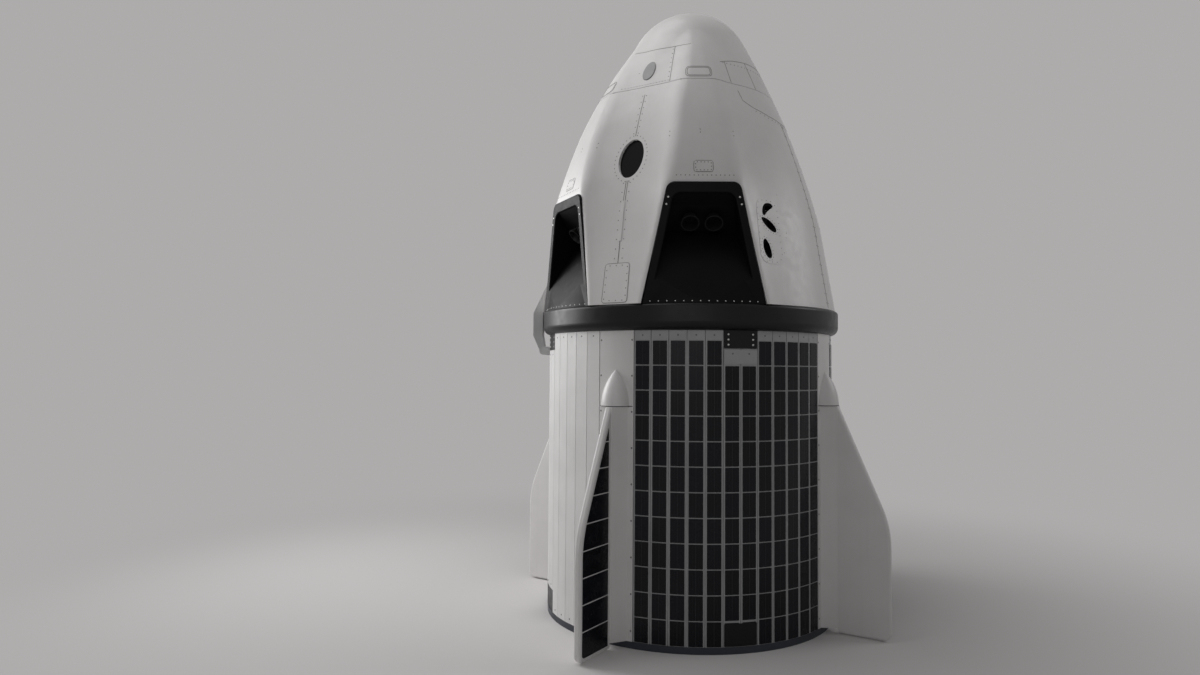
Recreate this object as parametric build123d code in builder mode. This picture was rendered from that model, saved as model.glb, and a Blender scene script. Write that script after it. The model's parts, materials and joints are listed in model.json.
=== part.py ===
from build123d import *
import os
from math import asin, atan2, cos, degrees, radians, sin, sqrt, tan

os.makedirs("parts", exist_ok=True)

# A crewed space capsule standing on its finned trunk. Millimetres, +Z up, axis on Z, floor at 0.
# Azimuths are degrees from -Y towards +X: windows at 0 and 180, parachute side 90, hatch side 270.

# Trunk
TRUNK_HEIGHT = 3660.0
TRUNK_RADIUS = 1898.0
STRIP_THICKNESS = 28.0
CELL_THICKNESS = 8.0
BARREL_WALL = 24.0
RIB_DEPTH = 60.0
RIB_HEIGHT = 50.0
RIB_COUNT = 3
TOP_FLANGE_DEPTH = 110.0
BASE_RING_HEIGHT = 80.0
BASE_RING_DEPTH = 100.0
BASE_BOLT_COUNT = 12
BASE_BOLT_RADIUS = 9.0
BASE_BOLT_START = 15.0
QUADRANT_MARGIN = 7.15
STRIPS_PER_QUADRANT = 12
STRIP_GAP = 9.0
SEAT_GAP = 0.3

# Solar cells on the two quadrants of the parachute side
CELL_ROWS = 12
CELL_WIDTH = 164.0
CELL_ROW_GAP = 14.0
CELL_TOP_DROP = 115.0
NOTCH_DROP = 213.0
NOTCH_STRIPS = 2
COVER_TOP = 349.0

# Fins and their fairings
FIN_TIP_RADIUS = 2680.0
FIN_ROOT_RADIUS = 2063.0
FIN_BOTTOM = 15.0
FIN_TOP_DROP = 891.0
FIN_KINK_HEIGHT = 1352.0
FIN_KINK_BLEND = 1200.0
FIN_CORNER = 90.0
FIN_THICKNESS = 84.0
FIN_EDGE_ROUND = 26.0
FIN_CELL_ROWS = 9
FIN_CELL_PITCH = 290.0
FIN_CELL_BORDER = 50.0
FAIRING_HALF_WIDTH = 165.0
FAIRING_CREST_HALF_WIDTH = 52.0
FAIRING_NOSE_LENGTH = 443.0
FAIRING_SEAT = 11.0

# Heat shield
RIM_RADIUS = 1980.0
RIM_HEIGHT = 308.0
RIM_TOP_ROUND = 42.0
RIM_LOW_ROUND = 100.0
SHIELD_SEAT_MARGIN = 15.0
SHIELD_DISH_DEPTH = 330.0

# Capsule outline, heights above the deck that closes the heat shield
SKIRT_RADIUS = 1945.0
KNEE_RADIUS = 1756.0
KNEE_HEIGHT = 1098.0
CAP_EDGE_RADIUS = 740.0
CAP_DEPTH = 440.0
CAPSULE_HEIGHT = 4132.0
NOSE_HEIGHT = 1310.0
NOSE_SEAM_GAP = 6.0
NOSE_WALL = 70.0

# Cabin
FLOOR_THICKNESS = 132.0
CABIN_LOW_RADIUS = 1450.0
CABIN_TOP_LEDGE = 60.0
BULKHEAD_WALL = 165.0
BULKHEAD_DROP = 110.0
BULKHEAD_THICKNESS = 80.0
TUNNEL_RADIUS = 400.0

# Engine pods
POD_AZIMUTH = 32.0
POD_FACE = 1815.0
POD_KNEE_HEIGHT = 1440.0
POD_MID_PROUD = 156.0
POD_MID_HEIGHT = 2530.0
POD_END_RADIUS = 640.0
POD_END_INSET = 40.0
POD_LOW_HALF_WIDTH = 735.0
POD_KNEE_HALF_WIDTH = 440.0
POD_MID_HALF_WIDTH = 290.0
POD_END_HALF_WIDTH = 130.0
POD_FLANK_SLOPE = 0.9
POD_BACK_OVERLAP = 10.0
FLANK_OUTREACH = 100.0
FLANK_LOW_DEPTH = 200.0
FLANK_HIGH_DEPTH = 350.0

# Engine bay in each pod: dark frame, ramp and two nozzles
BAY_MARGIN = 20.0
BAY_TOP_HEIGHT = 1420.0
BAY_LIP = 25.0
BAY_CORNER = 110.0
BAY_LIP_ROUND = 18.0
BAY_SIDE_FRAME = 100.0
BAY_OPENING_TOP = 1285.0
BAY_LINER = 50.0
RAMP_FOOT_HEIGHT = 45.0
RAMP_TOP_RADIUS = 1440.0
RAMP_TOP_HEIGHT = 905.0
RAMP_BULGE = 45.0
PLATE_TOP_RADIUS = 1690.0
PLATE_TOP_HEIGHT = 1170.0
NOZZLE_SPACING = 280.0
NOZZLE_THROAT_RADIUS = 82.0
NOZZLE_WALL = 12.0
NOZZLE_LENGTH = 110.0
NOZZLE_FLARE = 14.0

# Steering thrusters beside each pod: azimuth, height above the deck, port radius, tilt up, tilt sideways
THRUSTER_PORTS = [
    (58.7, 1141.0, 52.0, 12.0, 30.0),
    (59.1, 957.0, 56.0, -12.0, 34.0),
    (56.5, 670.0, 64.0, -45.0, 8.0),
]
PORT_DEPTH = 110.0
PORT_CUP_LENGTH = 60.0
PORT_CUP_WALL = 10.0

# Windows
WINDOW_DROP = 817.0
WINDOW_HALF_WIDTH = 168.0
WINDOW_HALF_TALL = 268.0
PANE_THICKNESS = 24.0
PANE_RECESS = 16.0

# Side hatch, on the face away from the solar cells
HATCH_AZIMUTH = 270.0
HATCH_HEIGHT = 1210.0
HATCH_WIDTH = 1020.0
HATCH_TALL = 1160.0
HATCH_CORNER = 240.0
HATCH_DEPTH = 170.0
HATCH_OUTREACH = 60.0
HATCH_TAPER = 30.0
HATCH_GAP = 6.0
HATCH_LEDGE = 20.0
HATCH_SEAT_GAP = 6.0
HATCH_WINDOW_RADIUS = 105.0
HATCH_WINDOW_RISE = 190.0
HATCH_AXIS_OFFSET = 640.0
HATCH_AXIS_DEPTH = 46.0
HINGE_KNUCKLE_RADIUS = 30.0
HINGE_PIN_RADIUS = 13.0
HINGE_PIN_CLEARANCE = 0.5
HINGE_KNUCKLE_LENGTH = 80.0
HINGE_KNUCKLE_GAP = 6.0
HATCH_HINGE_SPREAD = 260.0
HATCH_ARM_THICKNESS = 32.0
HATCH_ARM_REACH = 330.0
HATCH_BRACKET_REACH = 213.0

# Nose cone hinge, on the far window side
NOSE_AXIS_STANDOFF = 110.0
NOSE_HINGE_SPREAD = 70.0
NOSE_BRACKET_REACH = 200.0
NOSE_ARM_REACH = 140.0

# Docking gear under the nose cone
COLLAR_WALL = 70.0
COLLAR_HEIGHT = 170.0
DOCKING_FLANGE_RADIUS = 660.0
DOCKING_FLANGE_THICKNESS = 60.0
CAPTURE_RING_RADIUS = 600.0
CAPTURE_RING_WALL = 45.0
CAPTURE_RING_HEIGHT = 40.0
CAPTURE_POST_HEIGHT = 70.0
CAPTURE_POST_RADIUS = 16.0
PETAL_COUNT = 3
PETAL_WIDTH = 300.0
PETAL_HEIGHT = 130.0
PETAL_LEAN = 60.0
FORWARD_THRUSTER_INSET = 160.0
FORWARD_THRUSTER_COUNT = 4
FORWARD_THRUSTER_START = 45.0
FORWARD_THRUSTER_HEIGHT = 100.0
FORWARD_THRUSTER_THROAT = 40.0
FORWARD_THRUSTER_FLARE = 12.0
FORWARD_HATCH_OVERLAP = 40.0
FORWARD_HATCH_THICKNESS = 46.0
FORWARD_HATCH_GAP = 5.5
FORWARD_HATCH_AXIS = 500.0
FORWARD_ARM_REACH = 250.0

# Cabin fittings
SEAT_COUNT = 4
SEAT_PITCH = 480.0
SEAT_WIDTH = 420.0
SEAT_SHELL = 60.0
SEAT_BACK_LENGTH = 820.0
SEAT_PAN_LENGTH = 420.0
SEAT_LEG_LENGTH = 380.0
SEAT_HIP_X = 250.0
SEAT_HIP_HEIGHT = 470.0
SEAT_BACK_ANGLE = 28.0
SEAT_PAN_ANGLE = 22.0
SEAT_LEG_ANGLE = 53.0
RAIL_SECTION = 60.0
CONSOLE_WIDTH = 1080.0
CONSOLE_TALL = 330.0
CONSOLE_DEPTH = 60.0
CONSOLE_X = -560.0
CONSOLE_DROP = 882.0
CONSOLE_LEAN = 25.0
CONSOLE_POST_RADIUS = 24.0
CONSOLE_POST_SPREAD = 620.0
SCREEN_COUNT = 3
SCREEN_WIDTH = 310.0
SCREEN_TALL = 250.0
SCREEN_THICKNESS = 8.0

# Umbilical arm that bridges the heat shield's rim, over one radiator strip
CLAW_STRIP = 8
CLAW_WIDTH = 180.0
CLAW_AXIS_RADIUS = 1985.0
CLAW_AXIS_DROP = 210.0
CLAW_HUB_RADIUS = 56.0
CLAW_PIN_RADIUS = 20.0
CLAW_RIM_CLEARANCE = 22.0
CLAW_THICKNESS = 130.0
CLAW_HEAD_THICKNESS = 43.0
CLAW_HEAD_TALL = 112.0
CLAW_THROAT_INSET = 11.0
CLAW_HEAD_HEIGHT = 455.0
CLAW_HEAD_GAP = 8.0
CLAW_CHEEK_WIDTH = 34.0
CLAW_CHEEK_GAP = 6.0

# Levels worked out from the sizes above
DECK = TRUNK_HEIGHT + RIM_HEIGHT
TOP = DECK + CAPSULE_HEIGHT
SEAM = TOP - NOSE_HEIGHT
FLOOR = DECK + FLOOR_THICKNESS
BULKHEAD_TOP = SEAM - BULKHEAD_DROP
BULKHEAD = BULKHEAD_TOP - BULKHEAD_THICKNESS
WINDOW_Z = BULKHEAD - WINDOW_DROP
CONSOLE_Z = BULKHEAD - CONSOLE_DROP
NOTCH_BOTTOM = TRUNK_HEIGHT - NOTCH_DROP
CELL_TOP = TRUNK_HEIGHT - CELL_TOP_DROP
FIN_TOP = TRUNK_HEIGHT - FIN_TOP_DROP
FAIRING_NOSE_TOP = FIN_TOP + FAIRING_NOSE_LENGTH
CLAW_AXIS_HEIGHT = TRUNK_HEIGHT - CLAW_AXIS_DROP

QUADRANT_SPAN = 90.0
STRIP_PITCH = (QUADRANT_SPAN - 2 * QUADRANT_MARGIN) / STRIPS_PER_QUADRANT
STRIP_FACE = TRUNK_RADIUS * cos(radians(STRIP_PITCH / 2))
STRIP_WIDTH = 2 * TRUNK_RADIUS * sin(radians(STRIP_PITCH / 2)) - STRIP_GAP
BARREL_RADIUS = STRIP_FACE - STRIP_THICKNESS - SEAT_GAP
SHIELD_SEAT_RADIUS = BARREL_RADIUS - TOP_FLANGE_DEPTH - SHIELD_SEAT_MARGIN


def direction(azimuth):
    return Vector(sin(radians(azimuth)), -cos(radians(azimuth)), 0)


def along(azimuth):
    return Vector(cos(radians(azimuth)), sin(radians(azimuth)), 0)


def radial_plane(azimuth):
    """Plane through the axis: local x is the radius at that azimuth, local y the height."""
    return Plane(origin=(0, 0, 0), x_dir=direction(azimuth), z_dir=along(azimuth) * -1)


def facing_plane(azimuth, distance, height=0.0, tilt=0.0):
    """Plane square to the radius, its normal tilted up: local x runs with azimuth, local y up."""
    normal = direction(azimuth) * cos(radians(tilt)) + Vector(0, 0, sin(radians(tilt)))
    origin = direction(azimuth) * distance + Vector(0, 0, height)
    return Plane(origin=origin, x_dir=along(azimuth), z_dir=normal)


# The capsule's meridian: a straight skirt, an ogive and a round cap that meet tangent
CAP_RADIUS = (CAP_EDGE_RADIUS**2 + CAP_DEPTH**2) / (2 * CAP_DEPTH)
CAP_CENTRE = TOP - CAP_RADIUS
CAP_EDGE = TOP - CAP_DEPTH
KNEE = DECK + KNEE_HEIGHT
EDGE_NORMAL = (CAP_EDGE_RADIUS / CAP_RADIUS, (CAP_EDGE - CAP_CENTRE) / CAP_RADIUS)
KNEE_DROP = (KNEE_RADIUS - CAP_EDGE_RADIUS, KNEE - CAP_EDGE)
OGIVE_RADIUS = -(KNEE_DROP[0]**2 + KNEE_DROP[1]**2) / (
    2 * (EDGE_NORMAL[0] * KNEE_DROP[0] + EDGE_NORMAL[1] * KNEE_DROP[1])
)
OGIVE_CENTRE = (
    CAP_EDGE_RADIUS - OGIVE_RADIUS * EDGE_NORMAL[0],
    CAP_EDGE - OGIVE_RADIUS * EDGE_NORMAL[1],
)


def skin_radius(height, inset=0.0):
    """Radius of the capsule's round skin at a height, or of a surface that far inside it."""
    if height < KNEE:
        return SKIRT_RADIUS + (KNEE_RADIUS - SKIRT_RADIUS) * (height - DECK) / KNEE_HEIGHT - inset
    edge = CAP_CENTRE + (CAP_RADIUS - inset) * EDGE_NORMAL[1]
    if height < edge:
        return OGIVE_CENTRE[0] + sqrt((OGIVE_RADIUS - inset)**2 - (height - OGIVE_CENTRE[1])**2)
    return sqrt((CAP_RADIUS - inset)**2 - (height - CAP_CENTRE)**2)


def skin_slope(height):
    """Degrees by which the ogive leans in from upright at a height."""
    return degrees(asin((height - OGIVE_CENTRE[1]) / OGIVE_RADIUS))


def skin_arc(low, high, inset=0.0):
    """Arc of the ogive between two heights, as three points."""
    middle = (low + high) / 2
    return [(skin_radius(z, inset), z) for z in (low, middle, high)]


# Radii that follow the skin where the nose cone meets the cabin
BULKHEAD_RADIUS = skin_radius(SEAM) - BULKHEAD_WALL
CABIN_TOP_RADIUS = BULKHEAD_RADIUS - CABIN_TOP_LEDGE
NOSE_AXIS_RADIUS = skin_radius(SEAM) + NOSE_AXIS_STANDOFF
FORWARD_THRUSTER_CIRCLE = BULKHEAD_RADIUS - FORWARD_THRUSTER_INSET

# Heat shield: round shoulder, flat seat on the trunk and a shallow dish below
with BuildPart() as heat_shield:
    with BuildSketch(Plane.XZ):
        with BuildLine():
            low = TRUNK_HEIGHT
            Line((0, DECK), (RIM_RADIUS - RIM_TOP_ROUND, DECK))
            RadiusArc((RIM_RADIUS - RIM_TOP_ROUND, DECK), (RIM_RADIUS, DECK - RIM_TOP_ROUND), RIM_TOP_ROUND)
            Line((RIM_RADIUS, DECK - RIM_TOP_ROUND), (RIM_RADIUS, low + RIM_LOW_ROUND))
            RadiusArc((RIM_RADIUS, low + RIM_LOW_ROUND), (RIM_RADIUS - RIM_LOW_ROUND, low), RIM_LOW_ROUND)
            Line((RIM_RADIUS - RIM_LOW_ROUND, low), (SHIELD_SEAT_RADIUS, low))
            dish = (SHIELD_SEAT_RADIUS**2 + SHIELD_DISH_DEPTH**2) / (2 * SHIELD_DISH_DEPTH)
            RadiusArc((SHIELD_SEAT_RADIUS, low), (0, low - SHIELD_DISH_DEPTH), dish)
            Line((0, low - SHIELD_DISH_DEPTH), (0, DECK))
        make_face()
    revolve(axis=Axis.Z)
heat_shield.part.label = "heat_shield"
export_step(heat_shield.part, "parts/heat_shield.step")

# Round body inside the skin, used to trim what is set into it
with BuildPart() as round_body:
    with BuildSketch(Plane.XZ):
        with BuildLine():
            arc = skin_arc(KNEE, SEAM)
            Polyline((0, SEAM), (0, DECK), (SKIRT_RADIUS, DECK), (KNEE_RADIUS, KNEE))
            ThreePointArc(*arc)
            Line(arc[2], (0, SEAM))
        make_face()
    revolve(axis=Axis.Z)

# One pod, made at azimuth 90: a face that follows its own meridian, between two sloping flanks
POD_KNEE = DECK + POD_KNEE_HEIGHT
POD_MID = DECK + POD_MID_HEIGHT
POD_MID_RADIUS = skin_radius(POD_MID) + POD_MID_PROUD
POD_END = CAP_CENTRE + sqrt((CAP_RADIUS - POD_END_INSET)**2 - POD_END_RADIUS**2)
POD_BACK_LOW = CABIN_LOW_RADIUS + POD_BACK_OVERLAP
POD_SPAN = POD_LOW_HALF_WIDTH * 2


def flank_section(height, distance, half_width, reach_out, reach_in):
    """Cross-section of a pod: a trapezium that widens inwards."""
    plane = Plane(origin=(0, 0, height), x_dir=(0, 1, 0), z_dir=(0, 0, 1))
    outer = half_width - reach_out * POD_FLANK_SLOPE
    inner = half_width + reach_in * POD_FLANK_SLOPE
    with BuildSketch(plane) as section:
        with BuildLine():
            Polyline(
                (-inner, -(distance - reach_in)),
                (inner, -(distance - reach_in)),
                (outer, -(distance + reach_out)),
                (-outer, -(distance + reach_out)),
                close=True,
            )
        make_face()
    return section.sketch


with BuildPart() as pod:
    with BuildSketch(radial_plane(90)):
        with BuildLine():
            back = skin_arc(SEAM, POD_END - NOSE_WALL / 2, NOSE_WALL - POD_BACK_OVERLAP)
            Line((POD_FACE, DECK), (POD_FACE, POD_KNEE))
            ThreePointArc((POD_FACE, POD_KNEE), (POD_MID_RADIUS, POD_MID), (POD_END_RADIUS, POD_END))
            Line((POD_END_RADIUS, POD_END), back[2])
            ThreePointArc(back[2], back[1], back[0])
            Polyline(back[0], (POD_BACK_LOW, FLOOR), (POD_BACK_LOW, DECK), (POD_FACE, DECK))
        make_face()
    extrude(amount=POD_SPAN, both=True)
    loft(
        sections=[
            flank_section(DECK, POD_FACE, POD_LOW_HALF_WIDTH, FLANK_OUTREACH, FLANK_LOW_DEPTH),
            flank_section(POD_KNEE, POD_FACE, POD_KNEE_HALF_WIDTH, FLANK_OUTREACH, FLANK_HIGH_DEPTH),
            flank_section(POD_MID, POD_MID_RADIUS, POD_MID_HALF_WIDTH, FLANK_OUTREACH, FLANK_HIGH_DEPTH),
            flank_section(POD_END, POD_END_RADIUS, POD_END_HALF_WIDTH, FLANK_OUTREACH, FLANK_HIGH_DEPTH),
        ],
        ruled=True,
        mode=Mode.INTERSECT,
    )

# Engine bay block at azimuth 90: what the pod is hollowed for
BAY_FRONT = POD_FACE + BAY_LIP
BAY_REACH = RIM_RADIUS + BAY_LIP


def bay_outline(inset, top):
    """Trapezium on the pod's face, round at its two upper corners."""
    lean = (POD_LOW_HALF_WIDTH - POD_KNEE_HALF_WIDTH) / POD_KNEE_HEIGHT
    low = POD_LOW_HALF_WIDTH - inset
    high = low - lean * top
    with BuildSketch(facing_plane(90, BAY_FRONT)) as outline:
        with BuildLine():
            Polyline((-low, DECK), (low, DECK), (high, DECK + top), (-high, DECK + top), close=True)
        make_face()
        fillet(outline.vertices().group_by(Axis.Y)[-1], BAY_CORNER)
    return outline.sketch


with BuildPart() as bay_pocket:
    outline = bay_outline(BAY_MARGIN, BAY_TOP_HEIGHT)
    extrude(outline, amount=-(BAY_FRONT - RAMP_TOP_RADIUS + BAY_LINER))
    extrude(outline, amount=BAY_REACH - BAY_FRONT)
    with BuildSketch(radial_plane(90)):
        with BuildLine():
            Polyline(
                (BAY_REACH, DECK),
                (POD_FACE - BAY_LINER, DECK),
                (RAMP_TOP_RADIUS - BAY_LINER, DECK + RAMP_TOP_HEIGHT),
                (PLATE_TOP_RADIUS - 2 * BAY_LINER, DECK + PLATE_TOP_HEIGHT + BAY_LINER),
                (PLATE_TOP_RADIUS - BAY_LINER, DECK + BAY_TOP_HEIGHT),
                (BAY_REACH, DECK + BAY_TOP_HEIGHT),
                close=True,
            )
        make_face()
    extrude(amount=POD_SPAN, both=True, mode=Mode.INTERSECT)

# The bay's front is flat, apart from its foot, which runs out to the round skirt
with BuildPart() as bay_envelope:
    add(round_body.part)
    with BuildSketch(facing_plane(90, BAY_FRONT, DECK)):
        Rectangle(2 * POD_SPAN, BAY_TOP_HEIGHT, align=(Align.CENTER, Align.MIN))
    extrude(amount=-BAY_FRONT)

with BuildPart() as bay_block:
    add(bay_pocket.part)
    add(bay_envelope.part, mode=Mode.INTERSECT)

RAMP_FOOT = (skin_radius(DECK + RAMP_FOOT_HEIGHT), DECK + RAMP_FOOT_HEIGHT)
RAMP_HEAD = (RAMP_TOP_RADIUS, DECK + RAMP_TOP_HEIGHT)
PLATE_HEAD = (PLATE_TOP_RADIUS, DECK + PLATE_TOP_HEIGHT)
RAMP_MIDDLE = (
    (RAMP_FOOT[0] + RAMP_HEAD[0]) / 2 + RAMP_BULGE,
    (RAMP_FOOT[1] + RAMP_HEAD[1]) / 2,
)

with BuildPart() as bay_void:
    outline = bay_outline(BAY_MARGIN + BAY_SIDE_FRAME, BAY_OPENING_TOP)
    extrude(outline, amount=-(BAY_FRONT - RAMP_TOP_RADIUS))
    extrude(outline, amount=BAY_REACH - BAY_FRONT)
    with BuildSketch(radial_plane(90)):
        with BuildLine():
            Line((BAY_REACH, RAMP_FOOT[1]), RAMP_FOOT)
            ThreePointArc(RAMP_FOOT, RAMP_MIDDLE, RAMP_HEAD)
            Line(RAMP_HEAD, PLATE_HEAD)
            Polyline(
                PLATE_HEAD,
                (POD_FACE, DECK + BAY_OPENING_TOP),
                (BAY_REACH, DECK + BAY_OPENING_TOP),
                (BAY_REACH, RAMP_FOOT[1]),
            )
        make_face()
    extrude(amount=POD_SPAN, both=True, mode=Mode.INTERSECT)

with BuildPart() as engine_bay:
    add(bay_block.part)
    add(bay_void.part, mode=Mode.SUBTRACT)
    lip = engine_bay.faces().filter_by(Plane.YZ).sort_by(Axis.X)[-1]
    fillet(lip.edges().filter_by(lambda edge: edge.center().Z > DECK + RAMP_TOP_HEIGHT / 2), BAY_LIP_ROUND)

# Two flared nozzles standing on the bay's upper plate
PLATE_ANGLE = atan2(PLATE_HEAD[1] - RAMP_HEAD[1], PLATE_HEAD[0] - RAMP_HEAD[0])
PLATE_MIDDLE = ((RAMP_HEAD[0] + PLATE_HEAD[0]) / 2, (RAMP_HEAD[1] + PLATE_HEAD[1]) / 2)
nozzle_plane = Plane(
    origin=(PLATE_MIDDLE[0], 0, PLATE_MIDDLE[1]),
    x_dir=(0, 1, 0),
    z_dir=(sin(PLATE_ANGLE), 0, -cos(PLATE_ANGLE)),
)
with BuildPart() as nozzle_pair:
    with BuildSketch(nozzle_plane):
        with GridLocations(NOZZLE_SPACING, 1, 2, 1):
            Circle(NOZZLE_THROAT_RADIUS)
    extrude(amount=NOZZLE_LENGTH, taper=-NOZZLE_FLARE)
    with BuildSketch(nozzle_plane):
        with GridLocations(NOZZLE_SPACING, 1, 2, 1):
            Circle(NOZZLE_THROAT_RADIUS - NOZZLE_WALL)
    extrude(amount=NOZZLE_LENGTH, taper=-NOZZLE_FLARE, mode=Mode.SUBTRACT)


# Steering thruster ports beside the pod of the first quadrant
def port_plane(azimuth, height, lift, side):
    """Plane at a port's mouth, its normal turned up by lift and round by side from straight out."""
    z = DECK + height
    mouth = direction(azimuth) * skin_radius(z) + Vector(0, 0, z)
    normal = direction(azimuth + side) * cos(radians(lift)) + Vector(0, 0, sin(radians(lift)))
    return Plane(origin=mouth, x_dir=along(azimuth + side), z_dir=normal)


with BuildPart() as port_holes:
    for azimuth, height, radius, lift, side in THRUSTER_PORTS:
        with BuildSketch(port_plane(azimuth, height, lift, side).offset(-PORT_DEPTH)):
            Circle(radius)
        extrude(amount=2 * PORT_DEPTH)

with BuildPart() as port_cups:
    for azimuth, height, radius, lift, side in THRUSTER_PORTS:
        base = port_plane(azimuth, height, lift, side).offset(-PORT_DEPTH)
        with BuildSketch(base):
            Circle(radius - SEAT_GAP)
        extrude(amount=PORT_CUP_LENGTH)
        with BuildSketch(base.offset(PORT_CUP_WALL)):
            Circle(radius - PORT_CUP_WALL)
        extrude(amount=PORT_CUP_LENGTH, mode=Mode.SUBTRACT)


# Windows
def window_plane(azimuth, recess):
    """Plane along the skin at a window, that far below its surface."""
    plane = facing_plane(azimuth, skin_radius(WINDOW_Z), WINDOW_Z, skin_slope(WINDOW_Z))
    return plane.offset(-recess)


# Side hatch: a tapered plug on a plane that touches the skin
HATCH_Z = DECK + HATCH_HEIGHT
hatch_plane = facing_plane(HATCH_AZIMUTH, skin_radius(HATCH_Z), HATCH_Z, skin_slope(HATCH_Z))


def hatch_plug(growth, depth):
    """The hatch's tapered form, grown all round, from outside the skin down to a depth."""
    flare = 2 * HATCH_OUTREACH * tan(radians(HATCH_TAPER))
    with BuildPart() as plug:
        with BuildSketch(hatch_plane.offset(HATCH_OUTREACH)):
            RectangleRounded(
                HATCH_WIDTH + flare + 2 * growth,
                HATCH_TALL + flare + 2 * growth,
                HATCH_CORNER + flare / 2 + growth,
            )
        extrude(amount=-(HATCH_OUTREACH + depth), taper=HATCH_TAPER)
    return plug.part


HATCH_INNER_WIDTH = HATCH_WIDTH - 2 * HATCH_DEPTH * tan(radians(HATCH_TAPER))
HATCH_INNER_TALL = HATCH_TALL - 2 * HATCH_DEPTH * tan(radians(HATCH_TAPER))
HATCH_INNER_CORNER = HATCH_CORNER - HATCH_DEPTH * tan(radians(HATCH_TAPER))
DOORWAY_LENGTH = SKIRT_RADIUS - CABIN_TOP_RADIUS

with BuildPart() as hatch_opening:
    add(hatch_plug(HATCH_GAP, HATCH_DEPTH + HATCH_SEAT_GAP))
    with BuildSketch(hatch_plane.offset(-HATCH_DEPTH)):
        RectangleRounded(
            HATCH_INNER_WIDTH - 2 * HATCH_LEDGE,
            HATCH_INNER_TALL - 2 * HATCH_LEDGE,
            HATCH_INNER_CORNER - HATCH_LEDGE,
        )
    extrude(amount=-DOORWAY_LENGTH)

# Hinge line of the hatch: local x across the hatch, local y up along the skin
hatch_hinge = Plane(
    origin=hatch_plane.from_local_coords(Vector(-HATCH_AXIS_OFFSET, 0, -HATCH_AXIS_DEPTH)),
    x_dir=hatch_plane.z_dir,
    z_dir=hatch_plane.y_dir,
)
KNUCKLE_STEP = HINGE_KNUCKLE_LENGTH + HINGE_KNUCKLE_GAP
HALF_PIN = KNUCKLE_STEP + HINGE_KNUCKLE_LENGTH / 2
HATCH_KNUCKLES = [HATCH_HINGE_SPREAD, -HATCH_HINGE_SPREAD]

with BuildPart() as side_hatch:
    add(hatch_plug(0, HATCH_DEPTH))
    add(round_body.part, mode=Mode.INTERSECT)
    for height in HATCH_KNUCKLES:
        base = hatch_hinge.offset(height - HINGE_KNUCKLE_LENGTH / 2)
        with BuildSketch(base):
            Circle(HINGE_KNUCKLE_RADIUS)
            with Locations((0, (HATCH_AXIS_OFFSET - HATCH_ARM_REACH) / 2)):
                Rectangle(HATCH_ARM_THICKNESS, HATCH_AXIS_OFFSET - HATCH_ARM_REACH)
        extrude(amount=HINGE_KNUCKLE_LENGTH)
        with BuildSketch(base):
            Circle(HINGE_PIN_RADIUS + HINGE_PIN_CLEARANCE)
        extrude(amount=HINGE_KNUCKLE_LENGTH, mode=Mode.SUBTRACT)
    with BuildSketch(hatch_plane):
        with Locations((0, HATCH_WINDOW_RISE)):
            Circle(HATCH_WINDOW_RADIUS)
    extrude(amount=-2 * HATCH_DEPTH, mode=Mode.SUBTRACT)
side_hatch.part.label = "side_hatch"
export_step(side_hatch.part, "parts/side_hatch.step")

with BuildPart() as hatch_window:
    with BuildSketch(hatch_plane.offset(-PANE_RECESS)):
        with Locations((0, HATCH_WINDOW_RISE)):
            Circle(HATCH_WINDOW_RADIUS - SEAT_GAP)
    extrude(amount=-PANE_THICKNESS)
hatch_window.part.label = "hatch_window"
export_step(hatch_window.part, "parts/hatch_window.step")

with BuildPart() as hatch_hinge_brackets:
    for height in HATCH_KNUCKLES:
        for side in (-1, 1):
            middle = height + side * KNUCKLE_STEP
            base = hatch_hinge.offset(middle - HINGE_KNUCKLE_LENGTH / 2)
            with BuildSketch(base):
                Circle(HINGE_KNUCKLE_RADIUS)
                with Locations((-HATCH_BRACKET_REACH / 2, 0)):
                    Rectangle(HATCH_BRACKET_REACH, 2 * HINGE_KNUCKLE_RADIUS)
            extrude(amount=HINGE_KNUCKLE_LENGTH)
    for height in HATCH_KNUCKLES:
        with BuildSketch(hatch_hinge.offset(height)):
            Circle(HINGE_PIN_RADIUS)
        extrude(amount=HALF_PIN, both=True)
    add(round_body.part, mode=Mode.SUBTRACT)
hatch_hinge_brackets.part.label = "hatch_hinge_brackets"
export_step(hatch_hinge_brackets.part, "parts/hatch_hinge_brackets.step")

# Capsule wall of the first quadrant, between azimuths 0 and 90, with its pod
SEAM_LOW = SEAM - NOSE_SEAM_GAP / 2
SEAM_HIGH = SEAM + NOSE_SEAM_GAP / 2
TURN_TO_POD = POD_AZIMUTH - 90

with BuildPart() as quadrant:
    with BuildSketch(radial_plane(0)):
        with BuildLine():
            arc = skin_arc(KNEE, SEAM_LOW)
            Polyline((CABIN_LOW_RADIUS, DECK), (SKIRT_RADIUS, DECK), (KNEE_RADIUS, KNEE))
            ThreePointArc(*arc)
            Polyline(
                arc[2],
                (BULKHEAD_RADIUS, SEAM_LOW),
                (BULKHEAD_RADIUS, BULKHEAD),
                (CABIN_TOP_RADIUS, BULKHEAD),
                (CABIN_LOW_RADIUS, FLOOR),
                (CABIN_LOW_RADIUS, DECK),
            )
        make_face()
    revolve(axis=Axis.Z, revolution_arc=90)
    pod_foot = split(pod.part, Plane.XY.offset(SEAM_LOW), keep=Keep.BOTTOM, mode=Mode.PRIVATE)
    add(pod_foot.rotate(Axis.Z, TURN_TO_POD))
    add(bay_pocket.part.rotate(Axis.Z, TURN_TO_POD), mode=Mode.SUBTRACT)
    add(port_holes.part, mode=Mode.SUBTRACT)
    with BuildSketch(window_plane(0, 0)):
        Ellipse(WINDOW_HALF_WIDTH, WINDOW_HALF_TALL)
    extrude(amount=DOORWAY_LENGTH, both=True, mode=Mode.SUBTRACT)

# The four quadrants are the first one turned or mirrored about the two upright planes
QUADRANTS = ["front_right", "rear_right", "rear_left", "front_left"]


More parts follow.
